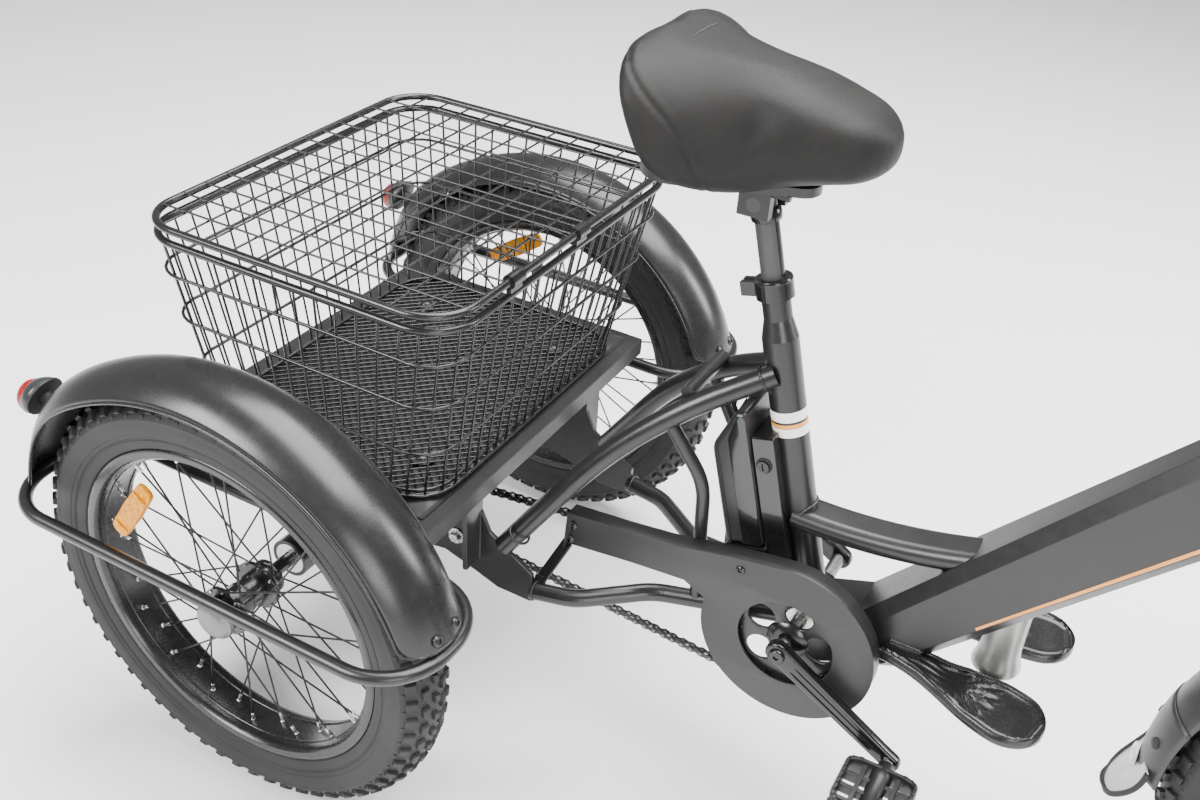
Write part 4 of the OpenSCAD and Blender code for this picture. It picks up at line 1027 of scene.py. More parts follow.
def make_chain():
    s = Shape()
    pins = chain_route()
    for i, a in enumerate(pins):
        b = pins[(i + 1) % len(pins)]
        out = 3.6 if i % 2 else 2.4
        for sign in (-1, 1):
            link_plate(s, a, b, CHAIN_Y + sign * out - 0.5, 1.0, 1)
        across = shift(a.x, CHAIN_Y + 4.9, a.y) @ ALONG_Y
        s.lathe([(0, 0), (1.9, 0), (1.9, 9.8), (0, 9.8)], 8, local=across)
        roller = shift(a.x, CHAIN_Y + 2.0, a.y) @ ALONG_Y
        s.lathe([(3.7, 0), (3.7, 4.0)], 10, local=roller)
    s.make("chain_links", [CHAIN_STEEL, CHAIN_DARK], "frame", smooth=40, replaces=["drive_chain"],
           slot="dark_chain")


def gear_outline(pitch_r, teeth):
    out = []
    step = 2 * math.pi / teeth
    for base in angles(teeth):
        for f, rise in ((-0.5, -3.9), (-0.36, -3.3), (-0.22, -0.2), (-0.10, 2.9), (0.10, 2.9), (0.22, -0.2),
                        (0.36, -3.3)):
            out.append(polar(pitch_r + rise, base + f * step))
    return out


def make_drive():
    make_chain()
    crank = Matrix.Translation(at(CRANK[0], CHAIN_Y, CRANK[1])) @ MM @ turn(CRANK_DROP, "Y") @ ALONG_Y
    teeth = [gear_outline(RING_R, RING_TEETH), circle(0, 0, 63.5, 72)]
    plate("chainring_teeth", teeth, 2.2, crank, CHAIN_DARK, "crankset", bevel=0.4, replaces=["chainring"])
    windows = [circle(0, 0, 66.0, 80)]
    for k in range(5):
        windows.append(list(reversed(circle(*polar(39.5, math.radians(72 * k + 36)), 16.8, 28))))
    plate("spider", windows, 4.6, crank, SATIN, "crankset", bevel=1.4, middle=3.0)
    bolts = Shape(crank)
    for k in range(5):
        place = shift(*polar(58.5, math.radians(72 * k)), 5.0)
        bolts.lathe([(0, 1.2), (2.0, 1.2), (2.4, 2.2), (4.4, 2.2), (5.0, 1.4), (5.0, -1.0)], 16, local=place)
    bolts.lathe([(24, 1.0), (25.5, 3.2), (24.0, 6.0), (18.0, 8.5), (14.0, 11.0), (9.0, 11.4)], 40)
    bolts.make("spider_bolts", GLOSS, "crankset", smooth=45)
    sprocket = Matrix.Translation(at(0, CHAIN_Y, TYRE_R)) @ MM @ ALONG_Y
    teeth = [gear_outline(COG_R, COG_TEETH), circle(0, 0, 17.2, 40)]
    plate("sprocket_teeth", teeth, 2.4, sprocket, CHAIN_STEEL, "drive_sprocket", bevel=0.4)
    make_cranks()
    make_chain_guard()


def arm_outline(length):
    return rounded([(-15.5, -14.5), (60, -12.6), (length - 12, -10.6), (length + 12.5, -11.0),
                    (length + 12.5, 11.0), (length - 12, 10.6), (60, 12.6), (-15.5, 14.5)],
                   [14.5, 90, 60, 11, 11, 60, 90, 14.5], 7)


def make_cranks():
    body = "crankset"
    for side, sign in SIDES:
        base = Matrix.Translation(at(CRANK[0], 0, CRANK[1])) @ MM @ turn(CRANK_DROP + 90 * (sign + 1), "Y")
        outer = base @ shift(0, sign * CRANK_Y, 0) @ ALONG_Y @ Matrix.Diagonal((1, 1, -sign, 1))
        plate("crank_arm_" + side, [arm_outline(CRANK_LEN)], 12.6, outer, GLOSS, body, bevel=3.2,
              replaces=["crank_arms"] if sign < 0 else ())
        rib = Shape(outer)
        for v in (-4.6, 4.6):
            rib.sweep([(24, v, 6.0), (30, v, 6.7), (140, v * 0.78, 6.7), (146, v * 0.78, 6.0)], 1.1, 6)
        rib.lathe([(0, 8.6), (3.0, 8.6), (3.4, 10.4), (8.2, 10.4), (9.4, 9.2), (9.6, 6.4), (12.0, 6.2)], 28)
        rib.lathe([(0, 7.4), (5.5, 7.4), (6.5, 6.2)], 20, local=shift(CRANK_LEN, 0, 0))
        rib.make("crank_trim_" + side, GLOSS, body, smooth=45)
        axle = Shape(base)
        axle.lathe([(8.3, 0), (8.3, 60)], 24, local=shift(0, sign * 92 + (60 if sign < 0 else 0), 0)
                   @ ALONG_Y)
        axle.make("crank_axle_" + side, CHAIN_STEEL, body, smooth=45)
        make_pedal(side, sign)


def make_pedal(side, sign):
    """A resin cage pedal: two toothed side plates, end loops and a ribbed barrel."""
    reach, drop = polar(CRANK_LEN, math.radians(CRANK_DROP))
    m = FROM_AXLE @ shift(CRANK[0] - sign * reach, sign * PEDAL_Y, CRANK[1] + sign * drop)
    if sign > 0:
        m = m @ FLIP_Y
    s = Shape(m)
    y0, y1, hx = -15.0, -97.5, 41.0
    loop = rounded([(-hx, y0 - 4), (-hx + 14, y0), (hx - 14, y0), (hx, y0 - 4), (hx, y1 + 16), (hx - 16, y1),
                    (-hx + 16, y1), (-hx, y1 + 16)], [12, 12, 12, 12, 22, 22, 22, 22], 5)
    n = len(loop)
    centre = Vector((0, (y0 + y1) / 2))
    rings = []
    for inset, z in ((0, -9.5), (0.0, 9.5), (1.2, 11.8), (5.4, 11.8), (6.6, 9.5), (6.6, -9.5), (5.4, -11.8),
                     (1.2, -11.8)):
        ring = []
        for x, y in loop:
            p = Vector((x, y))
            p = p + (centre - p).normalized() * inset
            ring.append((p.x, p.y, z))
        rings.append(ring)
    s.add([p for ring in rings for p in ring], quads(len(rings), n, ring=True, loop=True))
    for x, y in loop[::2]:
        p = Vector((x, y)) + (centre - Vector((x, y))).normalized() * 3.2
        for z in (-12.2, 12.2):
            s.block((3.6, 3.6, 2.6), shift(p.x, p.y, z) @ turn(180 if z < 0 else 0, "X"), top=0.55)
    for y in range(-90, -20, 9):
        for x in (-hx + 3.3, hx - 3.3):
            for z in (-12.2, 12.2):
                s.block((4.2, 4.4, 2.8), shift(x, y, z) @ turn(180 if z < 0 else 0, "X"), top=0.5)
    for x in (-19, 19):
        s.block((5, abs(y1 - y0) - 8, 15), shift(x, (y0 + y1) / 2, 0))
    for y in (-38, -57, -76):
        s.block((2 * hx - 8, 5, 13), shift(0, y, 0))
    profile = [(0, 3.4), (9.0, 3.4), (9.6, 5.0), (9.6, 12), (12.0, 15), (12.0, 30), (11.0, 32), (11.0, 80),
               (12.0, 82), (12.0, 95), (9.0, 98), (0, 98)]
    s.lathe(profile, 28, local=ALONG_Y)
    s.make("pedal_cage_" + side, PLASTIC, "pedal_" + side, smooth=40, bevel=0.5, steps=1,
           replaces=["pedal_" + side], slot="black_plastic")
    spindle = Shape(m)
    spindle.lathe([(0, -4), (5.0, -4), (5.0, 0.4), (7.6, 0.6), (7.6, 2.4), (0, 2.6)], 8, local=ALONG_Y)
    spindle.make("pedal_spindle_" + side, ZINC, "crankset", smooth=30)


def make_chain_guard():
    """The sheet guard: a disc with a round hole, an arm running back, and a folded edge."""
    y = -82.0
    cx, cz = CRANK
    arm = [(276, 350), (273, 305), (363, 316), (433, 322), (461, 308)]
    outline = arm + circle(cx, cz, 104, 70, start=170.0, sweep=287.0) + [(484, 381), (418, 366)]
    hole = list(reversed(circle(cx, cz, 57, 60)))
    flat = Matrix.Translation(at(0, y, 0)) @ MM @ ALONG_Y
    plate("guard_sheet", [outline, hole], 2.2, flat, GUARD, "frame", bevel=0.5, replaces=["chain_guard"])
    s = Shape()
    path = [(276, 350), (350, 357), (418, 366), (484, 381), (520, 387), (540, 390)]
    path += circle(cx, cz, 103.2, 40, start=98.0, sweep=-132.0)
    verts = [(x, y + out, z) for x, z in path for out in (-0.6, 3.0, 21)]
    s.add(verts, quads(len(path), 3, flip=True))
    s.make("guard_fold", GUARD, "frame", smooth=50, thick=2.0)
    strap = Shape()
    for a, b in (((284, y + 2, 340), (276, y + 3, 300)), ((276, y + 3, 302), (262, -114, 264)),
                 ((262, -114, 266), (262, -122, 256))):
        a, b = Vector(a), Vector(b)
        tilted = (b - a).to_track_quat("Z", "Y").to_matrix().to_4x4()
        strap.block((3.0, 16.0, (b - a).length + 4), Matrix.Translation((a + b) / 2) @ tilted @ turn(90, "Z"))
    strap.make("guard_strap", SATIN, "frame", bevel=0.8)
    screws = Shape()
    for x, z in ((285, 336), (282, 315), (499, 369)):
        screws.lathe([(0, 0), (5.2, 0), (5.6, 0.8), (4.4, 2.6), (2.2, 3.2), (1.8, 1.6), (0, 1.4)], 18,
                     local=shift(x, y - 1.0, z) @ ALONG_Y)
    screws.make("guard_screws", GLOSS, "frame", smooth=45)


# ---- battery ---------------------------------------------------------------

def make_battery():
    side_view = turn(90, "X")
    case = rounded([(-33, 97), (-33, 268), (-46, 268), (-80, 224), (-80, 97)], [3, 4, 8, 22, 6], 7)
    plate("battery_body", [case], 80.0, SEAT_TUBE @ side_view, CASE, "battery", bevel=7.0,
          replaces=["battery_case"])
    panel = rounded([(-34, 99), (-34, 264), (-43, 264), (-58, 236), (-58, 99)], [3, 4, 16, 24, 4], 8)
    for sign in (-1, 1):
        plate("battery_panel_" + ("right" if sign < 0 else "left"), [panel], 2.4,
              SEAT_TUBE @ shift(0, sign * 39.4, 0) @ side_view, PIANO, "battery", bevel=0.8)
    trim = Shape(SEAT_TUBE)
    trim.sweep([(-81.0, 0, 100), (-80.6, 0, 222), (-47, 0, 268.4), (-36, 0, 268.6)], 0.8, 6)
    for sign in (-1, 1):
        trim.sweep([(-72, sign * 40.2, 100), (-72, sign * 40.2, 224), (-50, sign * 40.2, 256)], 0.8, 6)
    trim.make("battery_seams", SEAL_RUBBER, "battery", smooth=60)
    handle = Shape(SEAT_TUBE)
    handle.sweep([(-52, -22, 258), (-55, -20, 268), (-56, -10, 273), (-56, 10, 273), (-55, 20, 268),
                  (-52, 22, 258)], 4.0, 10, squeeze=0.6)
    handle.make("battery_handle", PLASTIC, "battery", smooth=60)
    lock = Shape(SEAT_TUBE @ shift(-20, -36.0, 204) @ ALONG_Y)
    lock.lathe([(9.4, -0.6), (9.4, 1.0), (8.6, 2.0), (7.4, 2.0), (7.2, 1.0)], 32)
    lock.make("lock_bezel", SEAL_RUBBER, "frame", smooth=40)


# ---- footrests -------------------------------------------------------------

def footrest_half(s, length, tip):
    """Half the width of a footrest at distance s from its root."""
    if s > length:
        return math.sqrt(max(tip * tip - (s - length) ** 2, 0.0))
    f = s / length
    ease = f * f * (3 - 2 * f)
    return 21.0 - 5.0 * math.sin(math.pi * min(1.0, f * 1.25)) * (1 - f) + (tip - 21.0) * ease ** 1.35


def footrest_relief(d, t, edge, fan):
    """Height of the rim lines, grooves and fan at distance d along, t across and edge from the outline."""
    rim = 3.4 * math.exp(-((edge - 3.0) / 2.4) ** 2) + 1.7 * math.exp(-((edge - 9.5) / 1.8) ** 2)
    fall = -2.2 * max(0.0, 1 - edge / 1.6)
    rho, theta = math.hypot(d - fan, t), math.atan2(t, d - fan)
    grooves = 0.0
    if abs(theta) < 1.25 and edge > 11.5:
        inside = math.exp(-((rho - 30.0) / 17.0) ** 4)
        grooves = 1.9 * inside * math.cos(theta * 15.0)
    if d < fan and edge > 9:
        grooves += 0.9 * math.cos(t * 0.75) * math.exp(-((d - fan * 0.45) / (fan * 0.42)) ** 4)
    if d < 20:
        grooves += 1.2 * math.cos(d * 1.2)
    return rim + fall + grooves + 0.5 * math.sin(d * 0.16)


def make_footrest(side, sign):
    """A cast tongue that widens to a round end, with a raised rim and a grooved fan."""
    root, tip_at = Vector((666.0, 38.0)), Vector((807.5, 71.5))
    length, tip = (tip_at - root).length, 41.0
    way = (tip_at - root).normalized()
    across = Vector((-way.y, way.x))
    s = Shape()
    rows, cols = 84, 40
    verts, under = [], []
    fan = length * 0.60
    for i in range(rows + 1):
        d = (length + tip) * (1 - (1 - i / rows) ** 1.35) if i else 0.0
        d = min(d, length + tip - 0.05)
        w = footrest_half(d, length, tip)
        for k in range(cols + 1):
            v = 2 * k / cols - 1
            t = math.sin(v * math.pi / 2) * w
            edge = min(w - abs(t), (length + tip - d) * 0.8 + 3 if d > length else 99)
            p = root + way * d + across * t
            verts.append((p.x, sign * p.y, 309.5 + footrest_relief(d, t, edge, fan)))
            under.append((p.x, sign * p.y, 299.0 + 3.5 * max(0.0, 1 - edge / 4.0) ** 2))
    n = cols + 1
    base = len(verts)
    faces = quads(rows + 1, n, flip=True)
    faces += [tuple(base + q for q in reversed(f)) for f in faces]
    for i in range(rows):
        for k in (0, cols):
            a = i * n + k
            faces.append((a, a + n, base + a + n, base + a))
    for i in (0, rows):
        for k in range(cols):
            a = i * n + k
            faces.append((a, a + 1, base + a + 1, base + a))
    s.add(verts + under, faces)
    s.make("footrest_" + side, CAST, "frame", smooth=50, weld=True,
           replaces=["footrests"] if sign < 0 else (), slot="black_plastic")
    foot = Shape()
    foot.block((44, 46, 22), shift(686, sign * 26, 311), top=0.86)
    foot.make("footrest_foot_" + side, CAST, "frame", bevel=3.0, steps=3)


def make_cup():
    s = Shape(FROM_AXLE @ shift(778, 0, 305))
    s.lathe([(0, 0.4), (24.0, 0.4), (26.8, 2.2), (27.0, 5.0), (25.2, 12), (23.4, 20), (22.2, 30), (22.0, 60),
             (22.0, 112)], 56)
    s.make("pod_cup", CUP_GREY, "frame", smooth=40, replaces=["controller_pod"], slot="grey_metal")


# ---- frame trim ------------------------------------------------------------

DOWN_TUBE = ([566, 0, 264, 22, 45, 40], [650, 0, 300, 44, 45, 38], [1038, 0, 738, 48.5, 27, 54])


def tube_corner(i, k):
    """The k-th corner of the down tube's outline at station i."""
    x, y, z, slope, w, h = DOWN_TUBE[i]
    b = 14.0
    pts = ((-h, b - w), (b - h, -w), (h - b, -w), (h, b - w), (h, w - b), (h - b, w), (b - h, w), (-h, w - b))
    px, py = pts[k]
    a = math.radians(slope)
    return Vector((x + px * math.sin(a), y + py, z - px * math.cos(a)))


def side_point(along, down, sign):
    """A point on the down tube's side face: along 0 to 1 forward, down 0 to 1 from its top edge."""
    top, low = (1, 2) if sign < 0 else (6, 5)
    a = tube_corner(1, top).lerp(tube_corner(1, low), down)
    b = tube_corner(2, top).lerp(tube_corner(2, low), down)
    return a.lerp(b, along)


def make_stripes():
    s = Shape()
    for sign in (-1, 1):
        lift = Vector((0, sign * 0.35, 0))
        n = 24
        verts = [side_point(0.215 + 0.435 * i / n, down, sign) + lift
                 for i in range(n + 1) for down in (0.925, 0.985)]
        s.add(verts, quads(n + 1, 2, flip=sign < 0))
    s.make("tube_pinstripe", ORANGE_STRIPE, "frame", smooth=60)
    for name, low, high, material in (("band_white_top", 250.5, 262.0, WHITE_STRIPE),
                                      ("band_orange", 243.2, 247.4, ORANGE_STRIPE),
                                      ("band_white_low", 232.0, 242.4, WHITE_STRIPE)):
        band = Shape(SEAT_TUBE)
        band.lathe([(19.9, low - 0.2), (20.25, low), (20.25, high), (19.9, high + 0.2)], 72)
        band.make(name, material, "frame", smooth=40)


WELD_PITCH = 3.2


def weld_bead(shape, path, radius):
    """A closed rippled bead along a joint."""
    dense, length = [], 0.0
    pts = [Vector(p) for p in path]
    n = len(pts)
    for i in range(n):
        a, b = pts[i], pts[(i + 1) % n]
        steps = max(1, int((b - a).length / 0.9))
        for k in range(steps):
            dense.append(a.lerp(b, k / steps))
    radii = []
    for i, p in enumerate(dense):
        if i:
            length += (p - dense[i - 1]).length
        radii.append(radius * (1 + 0.28 * math.cos(2 * math.pi * length / WELD_PITCH)))
    shape.sweep(dense, radii, 8, closed=True)


def hoop(centre, axis, u, r):
    """Points of a circle round an axis, the first of them along u."""
    v = axis.cross(u)
    return [centre + r * (math.cos(a) * u + math.sin(a) * v) for a in angles(36)]


def make_welds():
    s = Shape()
    # brace tube on the front of the seat tube
    angle = math.radians(SEAT_ANGLE)
    lean = Vector((-math.cos(angle), 0, math.sin(angle)))
    foot = Vector((CRANK[0], 0, CRANK[1]))
    forward = Vector((math.sin(angle), 0, math.cos(angle)))
    middle = Vector((528.0, 0, 411.6))
    path = []
    for a in angles(40):
        y = 12 * (1 if math.cos(a) > 0 else -1) * min(1, abs(math.cos(a)) * 3) + 13.4 * math.cos(a)
        y = max(-20.0, min(20.0, y * 0.8))
        out = math.sqrt(max(20.4 ** 2 - y * y, 4.0))
        along = (middle - foot).dot(lean) + 13.6 * math.sin(a)
        path.append(foot + lean * along + forward * out + Vector((0, y, 0)))
    weld_bead(s, path, 1.9)
    # shell of the pedal axle at the foot of the seat tube
    for y in (-34.5, 34.5):
        path = [(CRANK[0] + 22.2 * math.cos(a), y, CRANK[1] + 22.2 * math.sin(a)) for a in angles(48)]
        weld_bead(s, path, 1.3)
    # stay tops
    for sign in (-1, 1):
        centre = Vector((470.0, sign * 21.0, 578.0))
        axis = Vector((133.0, sign * -58.0, 84.0)).normalized()
        weld_bead(s, hoop(centre, axis, axis.cross(Vector((0, 0, 1))).normalized(), 12.9), 1.5)
        for x, z, dx, dz, r in ((237, 331, 133, 197, 13.0), (262, 254, 54, 3, 11.4)):
            axis = Vector((dx, 0, dz)).normalized()
            weld_bead(s, hoop(Vector((x, sign * 126.0, z)), axis, Vector((0, 1, 0)), r), 1.5)
    s.make("weld_beads", SATIN, "frame", smooth=80)
    t = Shape(STEERING)
    for z in (424, 574):
        t.lathe([(22.6, z - 4), (24.6, z - 3), (25.0, z), (24.6, z + 3), (22.6, z + 4)], 56)
    t.make("head_rings", SATIN, "frame", smooth=50)


def outward(sign):
    """Turns Z to point away from the middle of the tricycle."""
    return turn(90 if sign < 0 else -90, "X")


def hex_bolt(s, place, size=13.0, length=6.0, washer=11.0):
    """A hexagon head with a chamfer and a washer, standing on the plane Z = 0 of place."""
    s.lathe([(0, 0), (washer, 0), (washer + 0.4, 0.5), (washer, 1.6), (size * 0.5, 1.7)], 28, local=place)
    r = size / math.sqrt(3)
    verts = []
    for z, scale in ((1.5, 1.0), (1.5 + length * 0.8, 1.0), (1.5 + length, 0.86)):
        verts += [(*polar(r * scale, math.radians(60 * k)), z) for k in range(6)]
    s.add(verts, quads(3, 6, ring=True) + [(12, 13, 14, 15, 16, 17)], local=place)
    dish = [(0, 1.5 + length * 0.55), (r * 0.42, 1.5 + length * 0.6), (r * 0.5, 1.5 + length)]
    s.lathe(dish, 18, local=place)


def make_bolts():
    s = Shape()
    for sign in (-1, 1):
        for x, z in ((150, 292), (60, 385)):
            hex_bolt(s, shift(x, sign * 130.2, z) @ outward(sign))
    s.make("frame_bolts", ZINC, "frame", smooth=28, replaces=["fasteners"], slot="zinc")
    dark = Shape()
    for x in (-95, 115):
        for y in (-150, 150):
            dark.lathe([(0, 0), (14.0, 0), (14.4, 0.8), (13.4, 1.8), (8.0, 2.0), (7.4, 3.4), (5.6, 4.8),
                        (3.4, 5.2), (3.0, 3.8), (0, 3.6)], 28, local=shift(x, y, 406.2))
    dark.make("basket_bolts", SATIN, "frame", smooth=40)


# ---- saddle ----------------------------------------------------------------

SADDLE_REAR, SADDLE_NOSE = 284.0, 562.0
SADDLE_HALF = (130, 128, 97, 76, 70, 59, 43)
SADDLE_TOP = (930, 914, 902, 881)
SADDLE_LOW = (797, 786, 807, 823)


def spread(values, t):
    """A smooth curve through evenly weighted values."""
    n = len(values) - 1
    x = t * n
    i = min(int(x), n - 1)
    f = x - i
    p = [values[max(0, min(n, i + k))] for k in (-1, 0, 1, 2)]
    return 0.5 * (2 * p[1] + (p[2] - p[0]) * f + (2 * p[0] - 5 * p[1] + 4 * p[2] - p[3]) * f * f
                  + (3 * p[1] - p[0] - 3 * p[2] + p[3]) * f ** 3)


def bend(value):
    """Turns a sine or cosine into that of a rounded square."""
    return math.copysign(abs(value) ** (2 / 2.8), value)


def saddle_mesh():
    """Squarish rings from the rear to the nose, drawn in at both ends; the rear leans back."""
    s = Shape()
    n_long, n_round = 72, 72
    verts = []
    for i in range(n_long + 1):
        t = 0.5 - 0.5 * math.cos(math.pi * i / n_long)
        rear, nose = min(t / 0.12, 1), min((1 - t) / 0.14, 1)
        inset = max((1 - (1 - rear) ** 2.2) ** (1 / 2.2) * math.sqrt(1 - (1 - nose) ** 2), 0.02)
        top, low, half = spread(SADDLE_TOP, t), spread(SADDLE_LOW, t), spread(SADDLE_HALF, t) * inset
        for a in angles(n_round):
            z = (top + low) / 2 + (top - low) / 2 * inset ** 0.7 * bend(math.sin(a))
            x = SADDLE_REAR + (SADDLE_NOSE - SADDLE_REAR) * t + 0.48 * (top - z) * (1 - t)
            verts.append((x, half * bend(math.cos(a)), z))
    faces = quads(n_long + 1, n_round, ring=True)
    faces.append(tuple(range(n_round)))
    faces.append(tuple(reversed(range(n_long * n_round, (n_long + 1) * n_round))))
    s.add(verts, faces)
    return s


PUFF_FRAMES = 14


def puff(obj, pressure, cap):
    """Inflates a padded piece a little and keeps each point within cap metres of where it began."""
    remesh = obj.modifiers.new("remesh", "REMESH")
    remesh.mode, remesh.voxel_size = "VOXEL", 0.0055
    bake_modifiers(obj)
    start = [v.co.copy() for v in obj.data.vertices]
    cloth = obj.modifiers.new("cloth", "CLOTH")
    cloth.settings.quality = 5
    cloth.settings.mass = 0.3
    cloth.settings.tension_stiffness = cloth.settings.compression_stiffness = 18
    cloth.settings.bending_stiffness = 1.5
    cloth.settings.use_pressure = True
    cloth.settings.uniform_pressure_force = pressure
    cloth.settings.effector_weights.gravity = 0
    cloth.collision_settings.use_collision = False
    cloth.point_cache.frame_start, cloth.point_cache.frame_end = 1, PUFF_FRAMES
    scene = bpy.context.scene
    for f in range(1, PUFF_FRAMES + 1):
        scene.frame_set(f)
    bake_modifiers(obj)
    scene.frame_set(1)
    for v, p in zip(obj.data.vertices, start):
        d = v.co - p
        if d.length > cap:
            v.co = p + d.normalized() * cap


def bake_modifiers(obj):
    graph = bpy.context.evaluated_depsgraph_get()
    mesh = bpy.data.meshes.new_from_object(obj.evaluated_get(graph))
    old = obj.data
    obj.modifiers.clear()
    obj.data = mesh
    bpy.data.meshes.remove(old)


def make_saddle():
    s = saddle_mesh()
    obj = s.make("saddle_cushion", VINYL, None, smooth=180)
    puff(obj, 3.0, 0.004)
    obj.data.materials.clear()
    obj.data.materials.append(VINYL)
    smooth = obj.modifiers.new("relax", "SMOOTH")
    smooth.factor, smooth.iterations = 0.5, 6
    fine = obj.modifiers.new("fine", "SUBSURF")
    fine.levels = fine.render_levels = 1
    bake_modifiers(obj)
    mesh = obj.data
    for v in mesh.vertices:
        x, z = v.co.x * 1000 + MID_X, v.co.z * 1000
        gap = seam_offset(x, z)
        groove = 1.5 * math.exp(-(gap / 1.5) ** 2)
        lip = 0.5 * math.exp(-((abs(gap) - 4.2) / 2.0) ** 2)
        inward = Vector((0.0, v.co.y, v.co.z - at(0, 0, 850).z)).normalized()
        v.co -= inward * (groove - lip) / 1000
    mesh.polygons.foreach_set("use_smooth", [True] * len(mesh.polygons))
    mesh.update()
    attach(obj, "saddle")
    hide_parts("saddle_pad")
    stitch_seam(obj)


def seam_offset(x, z):
    """Signed distance in millimetres from the seam, which bows forward down each flank."""
    up = z - 800.0
    return (x - 402.0 + 0.00656 * up * up) / math.hypot(1.0, 0.01312 * up)


def seam_points(obj, sign, shift):
    """Points down one flank where the seam crosses the cover."""
    mesh = obj.data
    tree = BVHTree.FromPolygons([v.co for v in mesh.vertices], [tuple(p.vertices) for p in mesh.polygons])
    pts = []
    steps = 240
    for k in range(steps + 1):
        a = math.radians(100 - 145 * k / steps)
        aim = Vector((0, sign * math.cos(a), math.sin(a)))
        x = 300.0
        hit = None
        for _ in range(12):
            start = at(x, 0, 850)
            hit, normal, _, _ = tree.ray_cast(start, aim, 1.0)
            if hit is None:
                break
            x += 0.6 * (shift - seam_offset(x, hit.z * 1000))
        if hit is not None and hit.z * 1000 > 790 and 284 < x < 420:
            pts.append((hit, normal))
    return pts


def stitch_seam(obj):
    s = Shape(Matrix.Identity(4))
    for sign in (-1, 1):
        for shift in (-3.4, 3.4):
            pts = seam_points(obj, sign, shift)
            travelled = 0.0
            dash = []
            for i in range(1, len(pts)):
                travelled += (pts[i][0] - pts[i - 1][0]).length
                phase = (travelled * 1000) % 5.2
                if phase < 3.6:
                    dash.append(pts[i])
                elif dash:
                    add_stitch(s, dash)
                    dash = []
    s.make("saddle_stitches", THREAD, "saddle", smooth=80, slot="vinyl")


def add_stitch(s, dash):
    if len(dash) < 2:
        return
    a, b = dash[0], dash[-1]
    if (a[0] - b[0]).length < 0.0008:
        return
    lift = 0.00035
    middle = (a[0] + b[0]) / 2 + (a[1] + b[1]).normalized() * lift * 1.6
    s.sweep([a[0] - a[1] * 0.0003, a[0] + a[1] * lift, middle, b[0] + b[1] * lift, b[0] - b[1] * 0.0003],
            0.00055, 5)


# ---- seat post -------------------------------------------------------------

def make_seat_post():
    rows, n = 60, 14
    band = Shape(SEAT_TUBE)
    band.add([(*polar(12.85, math.radians(-62 + 124 * j / n - 90)), 250 + 4.0 * i)
              for i in range(rows) for j in range(n + 1)], quads(rows, n + 1))
    band.make("post_grip_band", KNURL, "seat_post", smooth=60)
    head = Shape(SEAT_TUBE)
    head.lathe([(12.9, 474.5), (15.8, 476), (16.4, 479), (16.4, 486), (15.0, 489), (13.0, 490)], 36)
    head.make("post_head_collar", GLOSS, "seat_post", smooth=45)
    lip = Shape(SEAT_TUBE)
    lip.lathe([(16.0, 412.6), (19.8, 413.0), (20.6, 411.6), (20.6, 409.4), (20.0, 408.6)], 48)
    lip.make("clamp_lip", GLOSS, "frame", smooth=45)


# ---- front fender ----------------------------------------------------------

